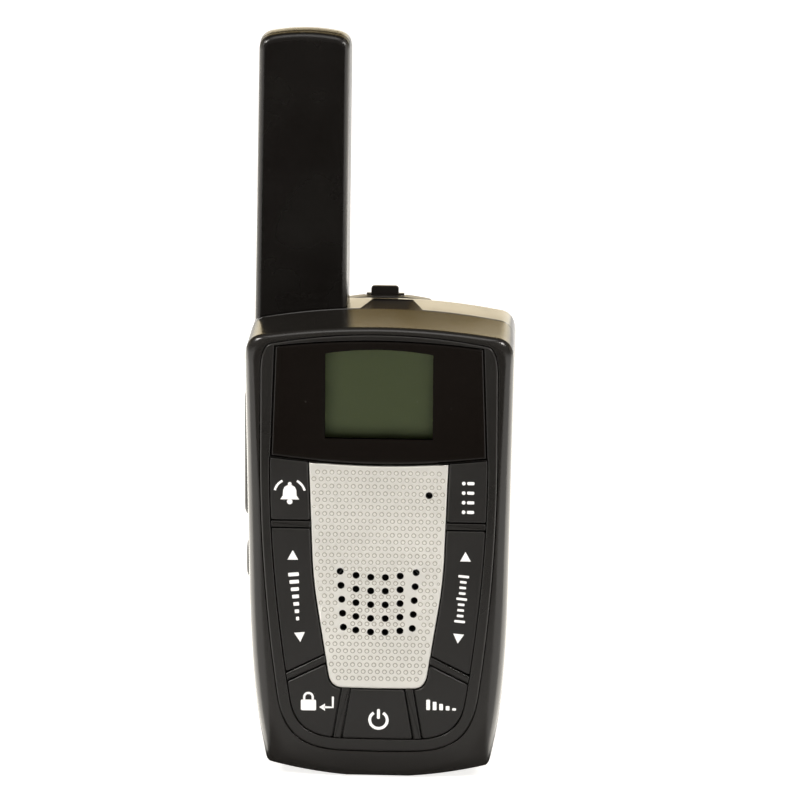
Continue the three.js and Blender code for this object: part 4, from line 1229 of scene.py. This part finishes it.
def make_antenna():
    """A flat blade of two shells, with soft edges and a seam. Its top slopes both ways from a crest."""
    front, back, soft = 16.0, 28.0, 1.5
    crest, seam = 20.6, 18.6
    profile = round_edge(soft, front, 7)
    profile += [(0, seam - 0.25), (0.25, seam - 0.15), (0.25, seam + 0.15), (0, seam + 0.25), (0, crest)]
    profile += [(0, crest + 2.0), (0, crest + 4.0)]
    profile += [(soft * (1 - math.cos(a)), back - soft * (1 - math.sin(a))) for a in quarter(7)]
    rings = []
    for amount, depth in profile:
        drop = 0.12 * (crest - depth) if depth < crest else 0.05 * (depth - crest) ** 2
        rings.append(at_depth(inset(antenna_outline(drop), amount), depth))
    antenna = loft("antenna_blade", rings)
    cut(antenna, rear_body("seat", 0.12))
    cut(antenna, block("foot", (-40, 10, 90), (0, 40, 101.2)))
    cut(antenna, block("bore", (-22.2, 17.4, 90), (-13, 26.6, 156)))
    finish_piece(antenna, ANTENNA, "casing", "antenna", "antenna_cover", angle=45)
    antenna.data.materials.append(ANTENNA_EDGE_WEAR_AND_HIGHLIGHT)
    # Front edge faces that turn partly sideways get the lighter edge material: wear, and a painted highlight.
    for polygon in antenna.data.polygons:
        if polygon.normal.y < -0.4 and 0.42 < abs(polygon.normal.x) < 0.92:
            polygon.material_index = 1
    return antenna


# ------------------------------------------------------------------ belt clip

def make_clip_carrier():
    pen = Pen((0, 72), 10)
    pen.line(9, 72)
    pen.quad(10.6, 72, 10.6, 74)
    pen.line(10.6, 100.8)
    pen.quad(10.6, 102.7, 9.8, 103.0)
    pen.quad(4.9, 104.05, 0, 104.05)
    outline = mirrored(pen.points)
    profile = round_edge(0.4, 28.3, 4) + [(0, 31.3), (0.12, 31.58), (0.4, 31.7)]
    carrier = slab("clip_carrier_plate", outline, profile)
    cut(carrier, block("neck_slot", (-4.3, 27, 60), (4.3, 29.3, 97.3)))
    cut(carrier, block("head_slot", (-6.7, 28.8, 60), (6.7, 30.4, 97.3)))
    cut(carrier, block("latch_slot", (-3.6, 29.9, 98.2), (3.6, 40, 110)))
    cut(carrier, block("feet_slot", (-4.7, 29.9, 103.6), (4.4, 40, 110)))
    for low in (-9.4, 7.4):
        ear = pill(CLIP_PIN_DEPTH, CLIP_PIN_Z, 2.2, 2.2, 14)
        foot = box_outline(31.3, CLIP_PIN_Z - 2.2, CLIP_PIN_DEPTH, CLIP_PIN_Z + 2.2)
        profile = [(0.2, low + 2), (0, low + 1.8), (0, low + 0.2), (0.2, low)]
        join(carrier, leftward("ear", ear, profile), leftward("ear_foot", foot, profile))
    cut(carrier, crossbar("pin_hole", CLIP_PIN_DEPTH, CLIP_PIN_Z, PIN_HOLE_R, -12, 12))
    return finish_piece(carrier, CLIP, "clip", "clip", "clip_carrier")


def make_clip_latch():
    """The thumb tab that frees the clip: a tongue with rounded corners and two small feet."""
    tab = rounded(box_outline(-3.35, 98.6, 2.85, 105.95), 0.85, 6)
    edge = [(0.22, 30.3), (0.06, 30.36), (0, 30.5), (0, 31.2), (0.06, 31.34), (0.22, 31.4)]
    latch = slab("clip_latch_tongue", tab, edge)
    feet = rounded(box_outline(-4.4, 103.8, 4.1, 104.25), 0.2, 4)
    join(latch, slab("feet", feet, [(0.1, 30.35), (0, 30.45), (0, 31.25), (0.1, 31.35)]))
    return finish_piece(latch, CLIP, "clip_latch", "clip", "clip_latch")


def through(points, steps=8):
    """A smooth line through some points."""
    points = [Vector(p) for p in points]
    line = []
    for i in range(len(points) - 1):
        a, b = points[max(i - 1, 0)], points[i]
        c, d = points[i + 1], points[min(i + 2, len(points) - 1)]
        for k in range(steps):
            t = k / steps
            line.append(0.5 * (2 * b + (c - a) * t + (2 * a - 5 * b + 4 * c - d) * t * t
                               + (3 * b - a - 3 * c + d) * t ** 3))
    return line + [points[-1]]


def make_clip_arm():
    """A sprung arm with a hooked foot, hung on the pin by two knuckles."""
    back = through([(33, 45), (31.2, 49.4), (32.6, 52.4), (35.4, 56.6), (37.2, 69.6), (37.9, 87), (37.8, 97),
                    (36.6, 101)])
    front = through([(35.2, 100.2), (36, 96.4), (36.1, 87), (35.4, 70), (33.6, 57), (30, 50.6), (29, 49),
                     (31.6, 46)])
    arm = leftward("clip_arm_blade", list(reversed(back + front)), [(0, -9), (0, 9)])
    plan = rounded(box_outline(-8.98, 44, 8.98, 101.6), 3.2, 10)
    cut(arm, slab("plan", plan, [(0, 20), (0, 45)]), operation="INTERSECT")
    bevelled(arm, 0.35, 3, 50)
    for low in (-6.9, 4.4):
        knuckle = pill(CLIP_PIN_DEPTH, CLIP_PIN_Z, 1.8, 1.8, 14)
        web = box_outline(CLIP_PIN_DEPTH, CLIP_PIN_Z - 1.6, 36.6, CLIP_PIN_Z + 1.6)
        profile = [(0, low + 2.5), (0, low)]
        join(arm, leftward("knuckle", knuckle, profile), leftward("web", web, profile))
    cut(arm, crossbar("pin_hole", CLIP_PIN_DEPTH, CLIP_PIN_Z, PIN_HOLE_R, -12, 12))
    for row in range(4):
        ridge = rounded(box_outline(-6, 93.6 + 1.6 * row, 6, 94.3 + 1.6 * row), 0.3)
        join(arm, slab("grip", ridge, [(0, 36.6), (0, 37.95), (0.2, 38.15)]))
    return finish_piece(arm, CLIP, "clip_arm", "clip", "clip_arm")


def make_screws():
    for number, (x, z) in enumerate(SCREWS, 1):
        shank = rod("shank", x, z, 1.15, 8, 19.5, 24)
        head = slab("case_screw_head_%d" % number, disc(x, z, 2.1, 40),
                    [(0, 19.3), (0, 20.3), (0.15, 20.55), (0.5, 20.7)])
        join(head, shank)
        for half_x, half_z in ((1.15, 0.22), (0.22, 1.15)):
            slot = box_outline(x - half_x, z - half_z, x + half_x, z + half_z)
            cut(head, slab("recess", slot, [(0.1, 20.0), (0, 20.8)]))
        finish_piece(head, STEEL, "casing", "steel", "case_screw_%d" % number)


def make_cells():
    """AAA cells: a printed wrap rolled over bare steel ends. shape holds (radius, height) pairs."""
    for number in (1, 2, 3):
        low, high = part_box("battery_cell_%d" % number)
        x, y = (low.x + high.x) / 2 / MM, (low.y + high.y) / 2 / MM
        bottom, top = low.z / MM, high.z / MM
        shape = [(0, 0), (4.6, 0), (5.0, 0.08), (5.2, 0.3), (5.2, 43.2), (5.05, 43.5), (4.7, 43.6),
                 (4.4, 43.5), (2.1, 43.45), (1.95, 43.6), (1.9, 44.35), (1.75, 44.5), (0, 44.5)]
        if number == 2:
            shape = [(radius, AAA_LENGTH - h) for radius, h in reversed(shape)]
        rings = []
        for radius, height in shape:
            z = bottom + (top - bottom) * height / AAA_LENGTH
            rings.append([(x + p.x, y + p.y, z) for p in disc(0, 0, max(radius, 0.02), 40)])
        cell = loft("cell_%d" % number, rings)
        finish_piece(cell, CELL, "casing", "cell", "battery_cell_%d" % number)
        cell.data.materials.append(STEEL)
        for polygon in cell.data.polygons:
            radius = math.hypot(polygon.center.x / MM - x, polygon.center.y / MM - y)
            if radius < 4.45:
                polygon.material_index = 1


def paint_inner_parts():
    """Materials for the CAD pieces that stay: electronics, springs, contacts and the clip's pin."""
    looks = {
        "lcd_module": SCREEN, "backlight_guide": INNER_WHITE, "keypad_mat": SILICONE, "main_board": BOARD,
        "rf_shield": STEEL, "speaker_gasket": SILICONE, "speaker_frame": STEEL, "speaker_cone": PAPER,
        "speaker_magnet": FERRITE, "microphone": STEEL, "microphone_boot": SILICONE, "talk_switch": STEEL,
        "monitor_switch": STEEL, "accessory_jack": CASING, "antenna_coil": BRASS, "antenna_feed": BRASS,
        "clip_pin": STEEL, "clip_spring": STEEL,
    }
    for number in (1, 2, 3):
        looks["battery_spring_%d" % number] = STEEL
        looks["battery_contact_%d" % number] = STEEL
    for name, material in looks.items():
        node = frame["nodes"][name]
        node.data.materials.clear()
        node.data.materials.append(material)


# ------------------------------------------------------------------ studio

def direction(azimuth, elevation):
    """The way from the radio towards something seen at an angle in degrees."""
    a, e = math.radians(azimuth), math.radians(elevation)
    return Vector((math.sin(a) * math.cos(e), -math.cos(a) * math.cos(e), math.sin(e)))


def camera():
    """The camera stands a little above and to the right, with a long lens."""
    azimuth, roll = math.radians(CAMERA_AZIMUTH), math.radians(CAMERA_ROLL)
    away = direction(CAMERA_AZIMUTH, CAMERA_ELEVATION)
    right = Vector((math.cos(azimuth), math.sin(azimuth), 0))
    up = away.cross(right)
    across = right * math.cos(roll) + up * math.sin(roll)
    upward = up * math.cos(roll) - right * math.sin(roll)
    data = bpy.data.cameras.new("camera")
    data.sensor_width = SENSOR
    data.lens = SENSOR * CAMERA_DISTANCE / VIEW_WIDTH
    data.clip_end = 20
    eye = bpy.data.objects.new("camera", data)
    bpy.context.scene.collection.objects.link(eye)
    turn = Matrix((across, upward, away)).transposed().to_4x4()
    eye.matrix_world = Matrix.Translation((TARGET + away * CAMERA_DISTANCE) * MM) @ turn
    bpy.context.scene.camera = eye


def floor():
    half = 4000
    ground = new_piece("floor", [(-half, -half, 0), (half, -half, 0), (half, half, 0), (-half, half, 0)],
                       [(0, 1, 2, 3)])
    n = Nodes("pale_floor")
    n.put(n.shader, "Base Color", colour(0.60, 0.59, 0.58))
    n.put(n.shader, "Roughness", 0.9)
    n.put(n.shader, "Specular IOR Level", 0.1)
    n.put(n.shader, "Emission Color", colour(1.0, 0.99, 0.97))
    n.put(n.shader, "Emission Strength", 0.85)
    ground.data.materials.append(n.material)


def card(name, corners, surface):
    """A card on the floor that is seen only in reflections. surface(nodes) gives its shader."""
    piece = new_piece(name, corners, [(0, 1, 2, 3)])
    piece.visible_camera = False
    piece.visible_diffuse = False
    piece.visible_shadow = False
    piece.visible_transmission = False
    n = Nodes(name)
    n.replace_shader(surface(n))
    piece.data.materials.append(n.material)


# Depth of the dark on the floor, from the radio's feet at 0 to a hand's length in front at 1. The dark at the
# feet is painted shade.
FLAG_STOPS = [(0.0, 1.0), (0.10, 0.97), (0.15, 0.82), (0.19, 0.56), (0.5, 0.65), (0.9, 1.0)]


def dark_flag():
    """The floor as the glossy face mirrors it: dark at the radio's feet, a painted shade in place of the
    shadow under the radio that the glowing floor lacks, dark far in front, and paler between.
    """
    near_y, end_y, far_y = FRONT_Y + 27, FRONT_Y - 250, FRONT_Y - 2600

    def surface(n):
        where = n.add("ShaderNodeSeparateXYZ", Vector=n.place(1000))
        away = n.span(where.outputs["Y"], near_y, end_y, 0, 1)
        share = n.ramp(away, [(place, (dark, dark, dark)) for place, dark in FLAG_STOPS])
        clear = n.add("ShaderNodeBsdfTransparent", Color=colour(1, 1, 1)).outputs[0]
        black = n.add("ShaderNodeBsdfDiffuse", Color=colour(0.01, 0.01, 0.01)).outputs[0]
        return n.mixed(share, clear, black)

    card("dark_flag", [(-24, near_y, 0.3), (24, near_y, 0.3), (1500, far_y, 0.3), (-1500, far_y, 0.3)],
         surface)


def side_cards():
    """Bright cards at both sides and behind, for the pale rims that the sides show."""
    def surface(n):
        return n.add("ShaderNodeEmission", Color=colour(1.0, 0.96, 0.88), Strength=4.4).outputs[0]

    for name, side in (("card_left", -1), ("card_right", 1)):
        near, far = side * 36, side * 900
        low = [(near, -10, 0.4), (far, -60, 0.4), (far, 560, 0.4), (near + side * 120, 560, 0.4)]
        card(name, low if side > 0 else list(reversed(low)), surface)


def softbox(name, azimuth, elevation, distance, width, height, power, tint):
    """An area light that looks at the radio from an angle, in degrees and metres."""
    away = direction(azimuth, elevation)
    data = bpy.data.lights.new(name, "AREA")
    data.shape = "RECTANGLE"
    data.size, data.size_y = width, height
    data.energy = power
    data.color = tint
    lamp = bpy.data.objects.new(name, data)
    bpy.context.scene.collection.objects.link(lamp)
    lamp.location = Vector((0, 0, 0.08)) + away * distance
    lamp.rotation_mode = "QUATERNION"
    lamp.rotation_quaternion = away.to_track_quat("Z", "Y")


# The backdrop's colour by the height of the direction that looks at it.
SKY = [(0.0, (2.4, 2.25, 1.9)), (0.265, (3.1, 2.7, 1.95)), (0.29, (1.9, 1.35, 0.5)),
       (0.32, (0.45, 0.29, 0.05)), (0.37, (0.33, 0.21, 0.03)), (0.45, (0.34, 0.22, 0.05)),
       (0.60, (0.15, 0.12, 0.08)), (1.0, (0.12, 0.12, 0.12))]


def world():
    """A dim room with a backdrop behind the radio: glowing low down, golden above that, then dark."""
    room = bpy.data.worlds.new("studio")
    bpy.context.scene.world = room
    room.use_nodes = True
    n = Tree(room.node_tree)
    n.tree.nodes.clear()
    where = n.add("ShaderNodeTexCoord").outputs["Generated"]
    split = n.add("ShaderNodeSeparateXYZ", Vector=where)
    backdrop = n.ramp(split.outputs["Z"], SKY)
    behind = n.span(split.outputs["Y"], -0.15, 0.2, 0.0, 1.0)
    narrow = n.span(n.maths("ABSOLUTE", split.outputs["X"]), 0.26, 0.38, 1.0, 0.25)
    tint = n.blend(n.maths("MULTIPLY", behind, narrow), (0.16, 0.15, 0.14, 1), backdrop)
    lit = n.add("ShaderNodeBackground", Color=tint).outputs[0]
    plain = n.add("ShaderNodeBackground", Color=(1.06, 1.06, 1.05, 1)).outputs[0]
    ray = n.add("ShaderNodeLightPath").outputs["Is Camera Ray"]
    n.add("ShaderNodeOutputWorld", Surface=n.mixed(ray, lit, plain))


# ------------------------------------------------------------------ the scene

make_front_casing()
make_rear_casing()
make_battery_door()
make_face_bezel()
make_keys()
make_speaker_grille()
make_display_lens()
make_legends()
make_side_button("talk_button", TALK_LOW, TALK_HIGH, TALK_CREST, 5)
make_side_button("monitor_button", MONITOR_LOW, MONITOR_HIGH, MONITOR_CREST, 0)
make_jack_cover()
make_antenna()
make_clip_carrier()
make_clip_latch()
make_clip_arm()
make_screws()
make_cells()
paint_inner_parts()

bpy.context.scene.view_settings.view_transform = "Standard"
softbox("softbox_left", -52, 38, 1.4, 0.3, 0.3, 9, (1.0, 0.97, 0.93))
softbox("softbox_right", 52, 38, 1.4, 0.3, 0.3, 9, (1.0, 0.97, 0.93))
softbox("softbox_top", 0, 75, 1.5, 1.0, 0.7, 5, (1.0, 0.98, 0.95))
dark_flag()
side_cards()
camera()
floor()
world()
